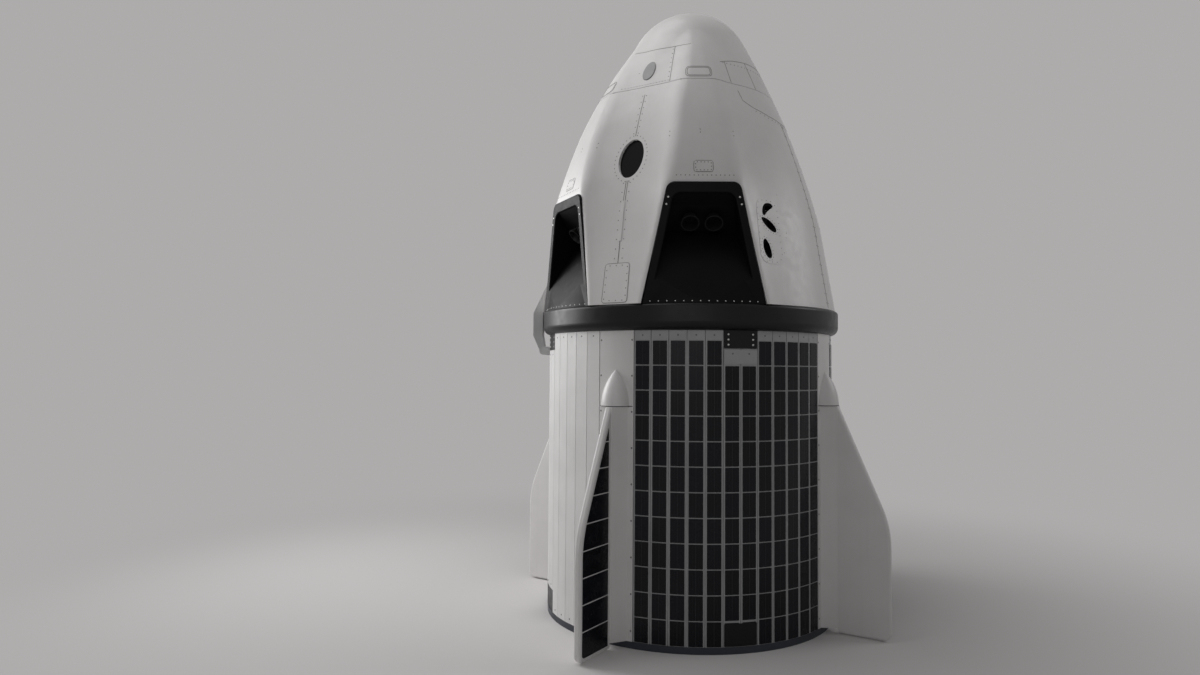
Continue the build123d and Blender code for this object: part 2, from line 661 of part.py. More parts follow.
def to_quadrant(shape, index):
    """Copy of a first-quadrant shape in another quadrant."""
    if index == 1:
        return shape.mirror(Plane.XZ)
    if index == 2:
        return shape.rotate(Axis.Z, 180)
    if index == 3:
        return shape.mirror(Plane.YZ)
    return shape


for index, name in enumerate(QUADRANTS):
    with BuildPart() as capsule_wall:
        add(to_quadrant(quadrant.part, index))
        if index >= 2:
            add(hatch_opening.part, mode=Mode.SUBTRACT)
    capsule_wall.part.label = "capsule_wall_" + name
    export_step(capsule_wall.part, "parts/capsule_wall_" + name + ".step")

    bay = to_quadrant(engine_bay.part.rotate(Axis.Z, TURN_TO_POD), index)
    bay.label = "engine_bay_" + name
    export_step(bay, "parts/engine_bay_" + name + ".step")

    nozzles = to_quadrant(nozzle_pair.part.rotate(Axis.Z, TURN_TO_POD), index)
    nozzles.label = "engine_nozzles_" + name
    export_step(nozzles, "parts/engine_nozzles_" + name + ".step")

with BuildPart() as steering_thrusters:
    for index in range(4):
        add(to_quadrant(port_cups.part, index))
steering_thrusters.part.label = "steering_thrusters"
export_step(steering_thrusters.part, "parts/steering_thrusters.step")

for azimuth, name in ((0, "front"), (180, "rear")):
    with BuildPart() as window_pane:
        with BuildSketch(window_plane(azimuth, PANE_RECESS)):
            Ellipse(WINDOW_HALF_WIDTH - SEAT_GAP, WINDOW_HALF_TALL - SEAT_GAP)
        extrude(amount=-PANE_THICKNESS)
    window_pane.part.label = "window_pane_" + name
    export_step(window_pane.part, "parts/window_pane_" + name + ".step")

# Nose cone: a shell over the docking gear, with the pods' upper ends on it
nose_hinge = Plane(origin=(0, NOSE_AXIS_RADIUS, SEAM), x_dir=(0, 1, 0), z_dir=(1, 0, 0))
NOSE_KNUCKLES = [NOSE_HINGE_SPREAD, -NOSE_HINGE_SPREAD]

with BuildPart() as nose_cone:
    with BuildSketch(Plane.XZ):
        with BuildLine():
            outer = skin_arc(SEAM_HIGH, CAP_EDGE)
            inner_edge = CAP_CENTRE + (CAP_RADIUS - NOSE_WALL) * EDGE_NORMAL[1]
            inner = skin_arc(SEAM_HIGH, inner_edge, NOSE_WALL)
            ThreePointArc(*outer)
            RadiusArc(outer[2], (0, TOP), -CAP_RADIUS)
            Line((0, TOP), (0, TOP - NOSE_WALL))
            RadiusArc((0, TOP - NOSE_WALL), inner[2], CAP_RADIUS - NOSE_WALL)
            ThreePointArc(*reversed(inner))
            Line(inner[0], outer[0])
        make_face()
    revolve(axis=Axis.Z)
    pod_tip = split(pod.part, Plane.XY.offset(SEAM_HIGH), keep=Keep.TOP, mode=Mode.PRIVATE)
    for index in range(4):
        add(to_quadrant(pod_tip.rotate(Axis.Z, TURN_TO_POD), index))
    for offset_x in NOSE_KNUCKLES:
        base = nose_hinge.offset(offset_x - HINGE_KNUCKLE_LENGTH / 2)
        with BuildSketch(base):
            Circle(HINGE_KNUCKLE_RADIUS)
            with Locations((0, NOSE_SEAM_GAP / 2)):
                Rectangle(NOSE_ARM_REACH, HINGE_KNUCKLE_RADIUS, align=(Align.MAX, Align.MIN))
        extrude(amount=HINGE_KNUCKLE_LENGTH)
        with BuildSketch(base):
            Circle(HINGE_PIN_RADIUS + HINGE_PIN_CLEARANCE)
        extrude(amount=HINGE_KNUCKLE_LENGTH, mode=Mode.SUBTRACT)
nose_cone.part.label = "nose_cone"
export_step(nose_cone.part, "parts/nose_cone.step")

with BuildPart() as nose_hinge_brackets:
    for offset_x in NOSE_KNUCKLES:
        outward = 1 if offset_x > 0 else -1
        middle = offset_x + outward * KNUCKLE_STEP
        with BuildSketch(nose_hinge.offset(middle - HINGE_KNUCKLE_LENGTH / 2)):
            Circle(HINGE_KNUCKLE_RADIUS)
            with Locations((HINGE_KNUCKLE_RADIUS, -NOSE_SEAM_GAP / 2)):
                Rectangle(NOSE_BRACKET_REACH, 2 * HINGE_KNUCKLE_RADIUS, align=(Align.MAX, Align.MAX))
        extrude(amount=HINGE_KNUCKLE_LENGTH)
        pin_start = offset_x - outward * HINGE_KNUCKLE_LENGTH / 2
        with BuildSketch(nose_hinge.offset(pin_start)):
            Circle(HINGE_PIN_RADIUS)
        extrude(amount=outward * (HINGE_KNUCKLE_LENGTH + KNUCKLE_STEP))
    add(round_body.part, mode=Mode.SUBTRACT)
nose_hinge_brackets.part.label = "nose_hinge_brackets"
export_step(nose_hinge_brackets.part, "parts/nose_hinge_brackets.step")

# Floor of the cabin and the bulkhead that closes it under the nose cone
with BuildPart() as cabin_floor:
    with BuildSketch(Plane.XY.offset(DECK)):
        Circle(CABIN_LOW_RADIUS - SEAT_GAP)
    extrude(amount=FLOOR_THICKNESS)
cabin_floor.part.label = "cabin_floor"
export_step(cabin_floor.part, "parts/cabin_floor.step")

with BuildPart() as forward_bulkhead:
    with BuildSketch(Plane.XY.offset(BULKHEAD)):
        Circle(BULKHEAD_RADIUS - SEAT_GAP)
        Circle(TUNNEL_RADIUS, mode=Mode.SUBTRACT)
    extrude(amount=BULKHEAD_THICKNESS)
forward_bulkhead.part.label = "forward_bulkhead"
export_step(forward_bulkhead.part, "parts/forward_bulkhead.step")

# Docking ring and the capture ring with its guide petals
FLANGE_BOTTOM = BULKHEAD_TOP + COLLAR_HEIGHT
FLANGE_TOP = FLANGE_BOTTOM + DOCKING_FLANGE_THICKNESS
with BuildPart() as docking_ring:
    with BuildSketch(Plane.XZ):
        with BuildLine():
            Polyline(
                (TUNNEL_RADIUS, BULKHEAD_TOP),
                (TUNNEL_RADIUS + COLLAR_WALL, BULKHEAD_TOP),
                (TUNNEL_RADIUS + COLLAR_WALL, FLANGE_BOTTOM),
                (DOCKING_FLANGE_RADIUS, FLANGE_BOTTOM),
                (DOCKING_FLANGE_RADIUS, FLANGE_TOP),
                (TUNNEL_RADIUS, FLANGE_TOP),
                close=True,
            )
        make_face()
    revolve(axis=Axis.Z)
docking_ring.part.label = "docking_ring"
export_step(docking_ring.part, "parts/docking_ring.step")

CAPTURE_BOTTOM = FLANGE_TOP + CAPTURE_POST_HEIGHT
CAPTURE_TOP = CAPTURE_BOTTOM + CAPTURE_RING_HEIGHT
CAPTURE_MIDDLE = CAPTURE_RING_RADIUS - CAPTURE_RING_WALL / 2
with BuildPart() as capture_ring:
    with BuildSketch(Plane.XY.offset(CAPTURE_BOTTOM)):
        Circle(CAPTURE_RING_RADIUS)
        Circle(CAPTURE_RING_RADIUS - CAPTURE_RING_WALL, mode=Mode.SUBTRACT)
    extrude(amount=CAPTURE_RING_HEIGHT)
    with BuildSketch(Plane.XY.offset(FLANGE_TOP)):
        with PolarLocations(CAPTURE_MIDDLE, 2 * PETAL_COUNT):
            Circle(CAPTURE_POST_RADIUS)
    extrude(amount=CAPTURE_POST_HEIGHT + CAPTURE_RING_HEIGHT)
    for index in range(PETAL_COUNT):
        azimuth = index * 360 / PETAL_COUNT
        petal_plane = facing_plane(azimuth, CAPTURE_MIDDLE, CAPTURE_TOP, 90 - PETAL_LEAN)
        with BuildSketch(petal_plane):
            with BuildLine():
                Polyline(
                    (-PETAL_WIDTH / 2, -CAPTURE_RING_HEIGHT / 2),
                    (PETAL_WIDTH / 2, -CAPTURE_RING_HEIGHT / 2),
                    (PETAL_WIDTH / 4, PETAL_HEIGHT),
                    (-PETAL_WIDTH / 4, PETAL_HEIGHT),
                    close=True,
                )
            make_face()
        extrude(amount=CAPTURE_POST_RADIUS / 2, both=True)
capture_ring.part.label = "capture_ring"
export_step(capture_ring.part, "parts/capture_ring.step")

with BuildPart() as forward_thrusters:
    with BuildSketch(Plane.XY.offset(BULKHEAD_TOP)):
        with PolarLocations(FORWARD_THRUSTER_CIRCLE, FORWARD_THRUSTER_COUNT, FORWARD_THRUSTER_START):
            Circle(FORWARD_THRUSTER_THROAT)
    extrude(amount=FORWARD_THRUSTER_HEIGHT, taper=-FORWARD_THRUSTER_FLARE)
    with BuildSketch(Plane.XY.offset(BULKHEAD_TOP + NOZZLE_WALL)):
        with PolarLocations(FORWARD_THRUSTER_CIRCLE, FORWARD_THRUSTER_COUNT, FORWARD_THRUSTER_START):
            Circle(FORWARD_THRUSTER_THROAT - NOZZLE_WALL)
    extrude(amount=FORWARD_THRUSTER_HEIGHT, taper=-FORWARD_THRUSTER_FLARE, mode=Mode.SUBTRACT)
forward_thrusters.part.label = "forward_thrusters"
export_step(forward_thrusters.part, "parts/forward_thrusters.step")

# Inward-opening hatch below the tunnel, hinged to the bulkhead
FORWARD_HATCH_RADIUS = TUNNEL_RADIUS + FORWARD_HATCH_OVERLAP
FORWARD_HATCH_TOP = BULKHEAD - FORWARD_HATCH_GAP
FORWARD_AXIS_HEIGHT = FORWARD_HATCH_TOP - FORWARD_HATCH_THICKNESS / 2 - HINGE_KNUCKLE_RADIUS / 2
forward_hinge = Plane(
    origin=(0, -FORWARD_HATCH_AXIS, FORWARD_AXIS_HEIGHT),
    x_dir=(0, 1, 0),
    z_dir=(1, 0, 0),
)
with BuildPart() as forward_hatch:
    with BuildSketch(Plane.XY.offset(FORWARD_HATCH_TOP)):
        Circle(FORWARD_HATCH_RADIUS)
    extrude(amount=-FORWARD_HATCH_THICKNESS)
    with BuildSketch(forward_hinge.offset(-HINGE_KNUCKLE_LENGTH / 2)):
        Circle(HINGE_KNUCKLE_RADIUS)
        with Locations((FORWARD_ARM_REACH / 2, 0)):
            Rectangle(FORWARD_ARM_REACH, HINGE_KNUCKLE_RADIUS)
    extrude(amount=HINGE_KNUCKLE_LENGTH)
    with BuildSketch(forward_hinge.offset(-HINGE_KNUCKLE_LENGTH / 2)):
        Circle(HINGE_PIN_RADIUS + HINGE_PIN_CLEARANCE)
    extrude(amount=HINGE_KNUCKLE_LENGTH, mode=Mode.SUBTRACT)
forward_hatch.part.label = "forward_hatch"
export_step(forward_hatch.part, "parts/forward_hatch.step")

with BuildPart() as forward_hinge_brackets:
    for side in (-1, 1):
        with BuildSketch(forward_hinge.offset(side * KNUCKLE_STEP - HINGE_KNUCKLE_LENGTH / 2)):
            Circle(HINGE_KNUCKLE_RADIUS)
            with Locations((0, (BULKHEAD - FORWARD_AXIS_HEIGHT) / 2)):
                Rectangle(2 * HINGE_KNUCKLE_RADIUS, BULKHEAD - FORWARD_AXIS_HEIGHT)
        extrude(amount=HINGE_KNUCKLE_LENGTH)
    with BuildSketch(forward_hinge):
        Circle(HINGE_PIN_RADIUS)
    extrude(amount=HALF_PIN, both=True)
forward_hinge_brackets.part.label = "forward_hinge_brackets"
export_step(forward_hinge_brackets.part, "parts/forward_hinge_brackets.step")

# Four reclined seats in a row across the cabin, facing the hatch, on two rails
SEAT_ROW = [(index - (SEAT_COUNT - 1) / 2) * SEAT_PITCH for index in range(SEAT_COUNT)]
HIP = (SEAT_HIP_X, FLOOR + SEAT_HIP_HEIGHT)
KNEE_POINT = (
    HIP[0] - SEAT_PAN_LENGTH * cos(radians(SEAT_PAN_ANGLE)),
    HIP[1] + SEAT_PAN_LENGTH * sin(radians(SEAT_PAN_ANGLE)),
)
HEAD_POINT = (
    HIP[0] + SEAT_BACK_LENGTH * sin(radians(SEAT_BACK_ANGLE)),
    HIP[1] + SEAT_BACK_LENGTH * cos(radians(SEAT_BACK_ANGLE)),
)
FOOT_POINT = (
    KNEE_POINT[0] - SEAT_LEG_LENGTH * cos(radians(SEAT_LEG_ANGLE)),
    KNEE_POINT[1] - SEAT_LEG_LENGTH * sin(radians(SEAT_LEG_ANGLE)),
)

with BuildPart() as crew_seats:
    for y in SEAT_ROW:
        with BuildSketch(Plane.XZ.offset(-(y - SEAT_WIDTH / 2))):
            with BuildLine():
                Polyline(FOOT_POINT, KNEE_POINT, HIP, HEAD_POINT)
                offset(amount=SEAT_SHELL / 2, kind=Kind.ARC)
            make_face()
        extrude(amount=-SEAT_WIDTH)
crew_seats.part.label = "crew_seats"
export_step(crew_seats.part, "parts/crew_seats.step")

RAIL_SPAN = SEAT_PITCH * SEAT_COUNT
RAIL_TOP = HIP[1] - SEAT_SHELL / 2 - SEAT_GAP
with BuildPart() as seat_frame:
    with BuildSketch(Plane.XZ.offset(RAIL_SPAN / 2)):
        with Locations((HIP[0], RAIL_TOP - RAIL_SECTION / 2)):
            Rectangle(RAIL_SECTION, RAIL_SECTION)
    extrude(amount=-RAIL_SPAN)
    with BuildSketch(Plane.XY.offset(FLOOR)):
        with Locations((HIP[0], 0)):
            with GridLocations(1, SEAT_PITCH, 1, SEAT_COUNT):
                Rectangle(RAIL_SECTION, RAIL_SECTION)
    extrude(amount=RAIL_TOP - FLOOR)
seat_frame.part.label = "seat_frame"
export_step(seat_frame.part, "parts/seat_frame.step")

# Display console hung from the bulkhead, with three screens
console_plane = Plane(
    origin=(CONSOLE_X, 0, CONSOLE_Z),
    x_dir=(0, 1, 0),
    z_dir=(cos(radians(CONSOLE_LEAN)), 0, -sin(radians(CONSOLE_LEAN))),
)
with BuildPart() as display_console:
    with BuildSketch(console_plane):
        RectangleRounded(CONSOLE_WIDTH, CONSOLE_TALL, CONSOLE_DEPTH)
    extrude(amount=-CONSOLE_DEPTH)
    with BuildSketch(Plane.XY.offset(CONSOLE_Z)):
        with Locations((CONSOLE_X - CONSOLE_DEPTH / 2, 0)):
            with GridLocations(1, CONSOLE_POST_SPREAD, 1, 2):
                Circle(CONSOLE_POST_RADIUS)
    extrude(amount=CONSOLE_DROP)
display_console.part.label = "display_console"
export_step(display_console.part, "parts/display_console.step")

with BuildPart() as display_screens:
    with BuildSketch(console_plane.offset(SEAT_GAP)):
        with GridLocations(CONSOLE_WIDTH / SCREEN_COUNT, 1, SCREEN_COUNT, 1):
            RectangleRounded(SCREEN_WIDTH, SCREEN_TALL, SCREEN_THICKNESS)
    extrude(amount=SCREEN_THICKNESS)
display_screens.part.label = "display_screens"
export_step(display_screens.part, "parts/display_screens.step")

# Trunk barrel: a tube with ring frames inside and a flange under the heat shield
RIB_STEP = (TRUNK_HEIGHT - BASE_RING_HEIGHT) / (RIB_COUNT + 1)
with BuildPart() as trunk_barrel:
    with BuildSketch(Plane.XY.offset(BASE_RING_HEIGHT)):
        Circle(BARREL_RADIUS)
        Circle(BARREL_RADIUS - BARREL_WALL, mode=Mode.SUBTRACT)
    extrude(amount=TRUNK_HEIGHT - BASE_RING_HEIGHT)
    for index in range(RIB_COUNT):
        with BuildSketch(Plane.XY.offset(BASE_RING_HEIGHT + (index + 1) * RIB_STEP - RIB_HEIGHT / 2)):
            Circle(BARREL_RADIUS - BARREL_WALL / 2)
            Circle(BARREL_RADIUS - BARREL_WALL - RIB_DEPTH, mode=Mode.SUBTRACT)
        extrude(amount=RIB_HEIGHT)
    with BuildSketch(Plane.XY.offset(TRUNK_HEIGHT - RIB_HEIGHT)):
        Circle(BARREL_RADIUS - BARREL_WALL / 2)
        Circle(BARREL_RADIUS - TOP_FLANGE_DEPTH, mode=Mode.SUBTRACT)
    extrude(amount=RIB_HEIGHT)
trunk_barrel.part.label = "trunk_barrel"
export_step(trunk_barrel.part, "parts/trunk_barrel.step")

BASE_BOLT_CIRCLE = STRIP_FACE - BASE_RING_DEPTH / 2
with BuildPart() as base_ring:
    with BuildSketch(Plane.XY):
        Circle(STRIP_FACE)
        Circle(STRIP_FACE - BASE_RING_DEPTH, mode=Mode.SUBTRACT)
    extrude(amount=BASE_RING_HEIGHT)
    with Locations((0, 0, BASE_RING_HEIGHT)):
        with PolarLocations(BASE_BOLT_CIRCLE, BASE_BOLT_COUNT, start_angle=BASE_BOLT_START):
            Hole(BASE_BOLT_RADIUS, BASE_RING_HEIGHT)
base_ring.part.label = "base_ring"
export_step(base_ring.part, "parts/base_ring.step")

# Flat strips round the trunk: solar cells stand on those of the first two quadrants
FIRST_STRIP = QUADRANT_MARGIN + STRIP_PITCH / 2
STRIP_AZIMUTHS = [FIRST_STRIP + index * STRIP_PITCH for index in range(STRIPS_PER_QUADRANT)]
MIDDLE_STRIPS = range((STRIPS_PER_QUADRANT - NOTCH_STRIPS) // 2, (STRIPS_PER_QUADRANT + NOTCH_STRIPS) // 2)
CELL_PITCH = (CELL_TOP - BASE_RING_HEIGHT) / CELL_ROWS
CELL_TALL = CELL_PITCH - CELL_ROW_GAP
COVER_LOW = BASE_RING_HEIGHT + CELL_ROW_GAP / 2


def strip_set(start, thickness, middle_foot):
    """One quadrant's strips, those in the middle shortened for a fitting above and a cover below."""
    with BuildPart() as strips:
        for number, azimuth in enumerate(STRIP_AZIMUTHS):
            central = number in MIDDLE_STRIPS
            top = NOTCH_BOTTOM if central else TRUNK_HEIGHT
            foot = middle_foot if central else BASE_RING_HEIGHT
            with BuildSketch(facing_plane(start + azimuth, BARREL_RADIUS + SEAT_GAP, foot)):
                Rectangle(STRIP_WIDTH, top - foot, align=(Align.CENTER, Align.MIN))
            extrude(amount=thickness)
    return strips.part


def cell_set(start):
    """One quadrant's solar cells in rows and columns, with a plain cover low in the middle."""
    with BuildPart() as cells:
        for number, azimuth in enumerate(STRIP_AZIMUTHS):
            central = number in MIDDLE_STRIPS
            with BuildSketch(facing_plane(start + azimuth, STRIP_FACE - CELL_THICKNESS)):
                for row in range(CELL_ROWS):
                    low = BASE_RING_HEIGHT + row * CELL_PITCH + CELL_ROW_GAP / 2
                    if central and (row == 0 or row == CELL_ROWS - 1):
                        continue
                    with Locations((0, low + CELL_TALL / 2)):
                        Rectangle(CELL_WIDTH, CELL_TALL)
                if central:
                    with Locations((0, (COVER_TOP + COVER_LOW) / 2)):
                        Rectangle(CELL_WIDTH, COVER_TOP - COVER_LOW)
            extrude(amount=CELL_THICKNESS)
    return cells.part


for start, name in ((0, "front"), (90, "rear")):
    strips = strip_set(start, STRIP_THICKNESS - CELL_THICKNESS, BASE_RING_HEIGHT)
    strips.label = "solar_strips_" + name
    export_step(strips, "parts/solar_strips_" + name + ".step")
    cells = cell_set(start)
    cells.label = "solar_cells_" + name
    export_step(cells, "parts/solar_cells_" + name + ".step")

for start, name in ((180, "rear"), (270, "front")):
    strips = strip_set(start, STRIP_THICKNESS, COVER_TOP + STRIP_GAP)
    strips.label = "radiator_strips_" + name
    export_step(strips, "parts/radiator_strips_" + name + ".step")

FITTING_WIDTH = 2 * BARREL_RADIUS * sin(radians(STRIP_PITCH)) - STRIP_GAP
FITTING_TALL = TRUNK_HEIGHT - NOTCH_BOTTOM - STRIP_GAP
with BuildPart() as tie_down_fittings:
    for index in range(4):
        azimuth = QUADRANT_SPAN * (index + 0.5)
        with BuildSketch(facing_plane(azimuth, BARREL_RADIUS + SEAT_GAP, NOTCH_BOTTOM + STRIP_GAP)):
            Rectangle(FITTING_WIDTH, FITTING_TALL, align=(Align.CENTER, Align.MIN))
        extrude(amount=STRIP_THICKNESS - CELL_THICKNESS)
tie_down_fittings.part.label = "tie_down_fittings"
export_step(tie_down_fittings.part, "parts/tie_down_fittings.step")

# Dark covers at the foot of the radiators, under their two shortened strips
with BuildPart() as foot_covers:
    for index in (2, 3):
        azimuth = QUADRANT_SPAN * (index + 0.5)
        with BuildSketch(facing_plane(azimuth, BARREL_RADIUS + SEAT_GAP, BASE_RING_HEIGHT)):
            Rectangle(FITTING_WIDTH, COVER_TOP - BASE_RING_HEIGHT, align=(Align.CENTER, Align.MIN))
        extrude(amount=STRIP_THICKNESS - CELL_THICKNESS)
foot_covers.part.label = "foot_covers"
export_step(foot_covers.part, "parts/foot_covers.step")

# Fins and fairings, made at azimuth 90 and turned into place
PAD_SPAN = 2 * QUADRANT_MARGIN - degrees(STRIP_GAP / TRUNK_RADIUS)
FAIRING_AXIS = STRIP_FACE - FAIRING_SEAT
FAIRING_JOINT = FIN_TOP

with BuildPart() as fin_fairing:
    with BuildSketch(radial_plane(90 - PAD_SPAN / 2)):
        with Locations((BARREL_RADIUS + SEAT_GAP, BASE_RING_HEIGHT)):
            Rectangle(STRIP_THICKNESS, TRUNK_HEIGHT - BASE_RING_HEIGHT, align=(Align.MIN, Align.MIN))
    revolve(axis=Axis.Z, revolution_arc=PAD_SPAN)
    with BuildSketch(Plane.XY.offset(BASE_RING_HEIGHT)):
        with BuildLine():
            Polyline(
                (FAIRING_AXIS, -FAIRING_HALF_WIDTH),
                (FIN_ROOT_RADIUS, -FAIRING_CREST_HALF_WIDTH),
                (FIN_ROOT_RADIUS, FAIRING_CREST_HALF_WIDTH),
                (FAIRING_AXIS, FAIRING_HALF_WIDTH),
                close=True,
            )
        make_face()
    extrude(amount=FAIRING_JOINT - BASE_RING_HEIGHT)
    with BuildSketch(Plane(origin=(FAIRING_AXIS, 0, 0), x_dir=(0, -1, 0), z_dir=(-1, 0, 0))):
        with BuildLine():
            reach = FIN_ROOT_RADIUS - FAIRING_AXIS
            rise = FAIRING_NOSE_TOP - FAIRING_JOINT
            Line((0, FAIRING_JOINT), (reach, FAIRING_JOINT))
            RadiusArc((reach, FAIRING_JOINT), (0, FAIRING_NOSE_TOP), -(reach**2 + rise**2) / (2 * reach))
            Line((0, FAIRING_NOSE_TOP), (0, FAIRING_JOINT))
        make_face()
    revolve(axis=Axis((FAIRING_AXIS, 0, 0), (0, 0, 1)), revolution_arc=180)

def fin_outline(plane, border):
    """Side view of a fin, or of the panel that far inside its edge."""
    with BuildSketch(plane) as outline:
        with BuildLine():
            Polyline(
                (FIN_ROOT_RADIUS, FIN_BOTTOM),
                (FIN_TIP_RADIUS, FIN_BOTTOM),
                (FIN_TIP_RADIUS, FIN_KINK_HEIGHT),
                (FIN_ROOT_RADIUS, FIN_TOP),
                close=True,
            )
        make_face()
        fillet(outline.vertices().group_by(Axis.X)[-1].sort_by(Axis.Y)[0], FIN_CORNER)
        fillet(outline.vertices().group_by(Axis.X)[-1].sort_by(Axis.Y)[-1], FIN_KINK_BLEND)
        if border:
            offset(amount=-border, mode=Mode.REPLACE)
    return outline.sketch


with BuildPart() as fin:
    extrude(fin_outline(radial_plane(90), 0), amount=FIN_THICKNESS / 2, both=True)
    sides = fin.faces().filter_by(Axis.Y)
    free_edge = FIN_ROOT_RADIUS + FIN_EDGE_ROUND
    fillet(sides.edges().filter_by(lambda edge: edge.center().X > free_edge), FIN_EDGE_ROUND)

# Cells in one column on the solar side of the front fin, and of the rear fin by mirroring
fin_face = radial_plane(0).offset(-FIN_THICKNESS / 2 - SEAT_GAP)
with BuildPart() as fin_cells:
    with BuildSketch(fin_face):
        for row in range(FIN_CELL_ROWS):
            low = FIN_BOTTOM + FIN_CELL_BORDER + row * FIN_CELL_PITCH
            with Locations((FIN_ROOT_RADIUS, low)):
                Rectangle(
                    FIN_TIP_RADIUS - FIN_ROOT_RADIUS,
                    FIN_CELL_PITCH - CELL_ROW_GAP,
                    align=(Align.MIN, Align.MIN),
                )
    extrude(amount=-CELL_THICKNESS / 2)
    extrude(fin_outline(fin_face, FIN_CELL_BORDER), amount=-CELL_THICKNESS, mode=Mode.INTERSECT)
    mirror(about=Plane.XZ)
fin_cells.part.label = "fin_cells"
export_step(fin_cells.part, "parts/fin_cells.step")

for index, name in enumerate(("right", "rear", "left", "front")):
    fairing_copy = fin_fairing.part.rotate(Axis.Z, 90 * index)
    fairing_copy.label = "fin_fairing_" + name
    export_step(fairing_copy, "parts/fin_fairing_" + name + ".step")
    fin_copy = fin.part.rotate(Axis.Z, 90 * index)
    fin_copy.label = "fin_" + name
    export_step(fin_copy, "parts/fin_" + name + ".step")

# Umbilical arm on a hinge bracket, reaching over the rim to the capsule's skirt
CLAW_AZIMUTH = -STRIP_AZIMUTHS[CLAW_STRIP]
CLAW_INNER = RIM_RADIUS + CLAW_RIM_CLEARANCE
CLAW_OUTER = CLAW_INNER + CLAW_THICKNESS
CLAW_HEAD = DECK + CLAW_HEAD_HEIGHT
CLAW_HEAD_LOW = CLAW_HEAD - CLAW_HEAD_TALL
CLAW_HEAD_RADIUS = skin_radius(CLAW_HEAD) + CLAW_HEAD_GAP
claw_plane = radial_plane(CLAW_AZIMUTH)
with BuildPart() as claw_arm:
    with BuildSketch(claw_plane):
        with BuildLine():
            Polyline(
                (CLAW_AXIS_RADIUS - CLAW_THROAT_INSET, CLAW_AXIS_HEIGHT + CLAW_HUB_RADIUS),
                (CLAW_INNER, TRUNK_HEIGHT),
                (CLAW_INNER, DECK),
                (skin_radius(CLAW_HEAD_LOW) + CLAW_HEAD_GAP, CLAW_HEAD_LOW),
                (CLAW_HEAD_RADIUS, CLAW_HEAD),
                (CLAW_HEAD_RADIUS + CLAW_HEAD_THICKNESS, CLAW_HEAD),
                (CLAW_OUTER, DECK),
                (CLAW_OUTER, TRUNK_HEIGHT),
                (CLAW_AXIS_RADIUS + CLAW_HUB_RADIUS, CLAW_AXIS_HEIGHT),
                close=True,
            )
        make_face()
        with Locations((CLAW_AXIS_RADIUS, CLAW_AXIS_HEIGHT)):
            Circle(CLAW_HUB_RADIUS)
            Circle(CLAW_PIN_RADIUS + HINGE_PIN_CLEARANCE, mode=Mode.SUBTRACT)
    extrude(amount=CLAW_WIDTH / 2, both=True)
claw_arm.part.label = "claw_arm"
export_step(claw_arm.part, "parts/claw_arm.step")

CLAW_CHEEK_INNER = CLAW_WIDTH / 2 + CLAW_CHEEK_GAP
with BuildPart() as claw_bracket:
    for side in (-1, 1):
        with BuildSketch(claw_plane.offset(side * (CLAW_CHEEK_INNER + CLAW_CHEEK_WIDTH / 2))):
            with Locations(((STRIP_FACE + CLAW_AXIS_RADIUS) / 2, CLAW_AXIS_HEIGHT)):
                Rectangle(CLAW_AXIS_RADIUS - STRIP_FACE, 2 * CLAW_HUB_RADIUS)
            with Locations((CLAW_AXIS_RADIUS, CLAW_AXIS_HEIGHT)):
                Circle(CLAW_HUB_RADIUS)
        extrude(amount=CLAW_CHEEK_WIDTH / 2, both=True)
    with BuildSketch(claw_plane):
        with Locations((CLAW_AXIS_RADIUS, CLAW_AXIS_HEIGHT)):
            Circle(CLAW_PIN_RADIUS)
    extrude(amount=CLAW_CHEEK_INNER + CLAW_CHEEK_WIDTH / 2, both=True)
claw_bracket.part.label = "claw_bracket"
export_step(claw_bracket.part, "parts/claw_bracket.step")
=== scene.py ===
import json
import math

import bmesh
import bpy
import numpy as np
from mathutils import Matrix, Vector
from mathutils.bvhtree import BVHTree

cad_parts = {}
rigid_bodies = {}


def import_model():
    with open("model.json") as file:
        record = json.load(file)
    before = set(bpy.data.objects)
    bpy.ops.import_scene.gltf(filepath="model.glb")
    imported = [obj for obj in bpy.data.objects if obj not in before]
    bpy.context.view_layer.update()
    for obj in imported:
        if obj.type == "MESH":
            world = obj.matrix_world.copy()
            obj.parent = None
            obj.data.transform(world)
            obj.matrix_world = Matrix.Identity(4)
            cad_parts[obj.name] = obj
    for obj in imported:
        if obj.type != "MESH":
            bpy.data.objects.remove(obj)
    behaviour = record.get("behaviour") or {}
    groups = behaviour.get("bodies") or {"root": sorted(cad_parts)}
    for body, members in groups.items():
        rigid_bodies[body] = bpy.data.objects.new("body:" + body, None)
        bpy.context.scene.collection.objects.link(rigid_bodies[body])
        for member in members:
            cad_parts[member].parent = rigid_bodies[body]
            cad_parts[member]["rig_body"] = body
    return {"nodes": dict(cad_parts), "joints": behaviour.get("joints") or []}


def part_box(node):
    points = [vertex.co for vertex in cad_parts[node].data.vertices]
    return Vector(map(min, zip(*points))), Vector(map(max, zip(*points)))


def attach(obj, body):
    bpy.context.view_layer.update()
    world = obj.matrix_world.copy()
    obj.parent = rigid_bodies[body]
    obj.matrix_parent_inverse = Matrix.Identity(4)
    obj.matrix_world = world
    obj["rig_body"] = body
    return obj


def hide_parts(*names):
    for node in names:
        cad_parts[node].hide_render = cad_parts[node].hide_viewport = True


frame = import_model()
NODES = frame["nodes"]
JOINTS = {joint["name"]: joint for joint in frame["joints"]}
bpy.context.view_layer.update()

# Levels and radii of the vehicle in metres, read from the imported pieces
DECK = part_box("heat_shield")[1].z
TRUNK_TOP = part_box("trunk_barrel")[1].z
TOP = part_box("nose_cone")[1].z
SEAM = JOINTS["nose_hinge"]["pos_m"][2]
RING_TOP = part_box("base_ring")[1].z

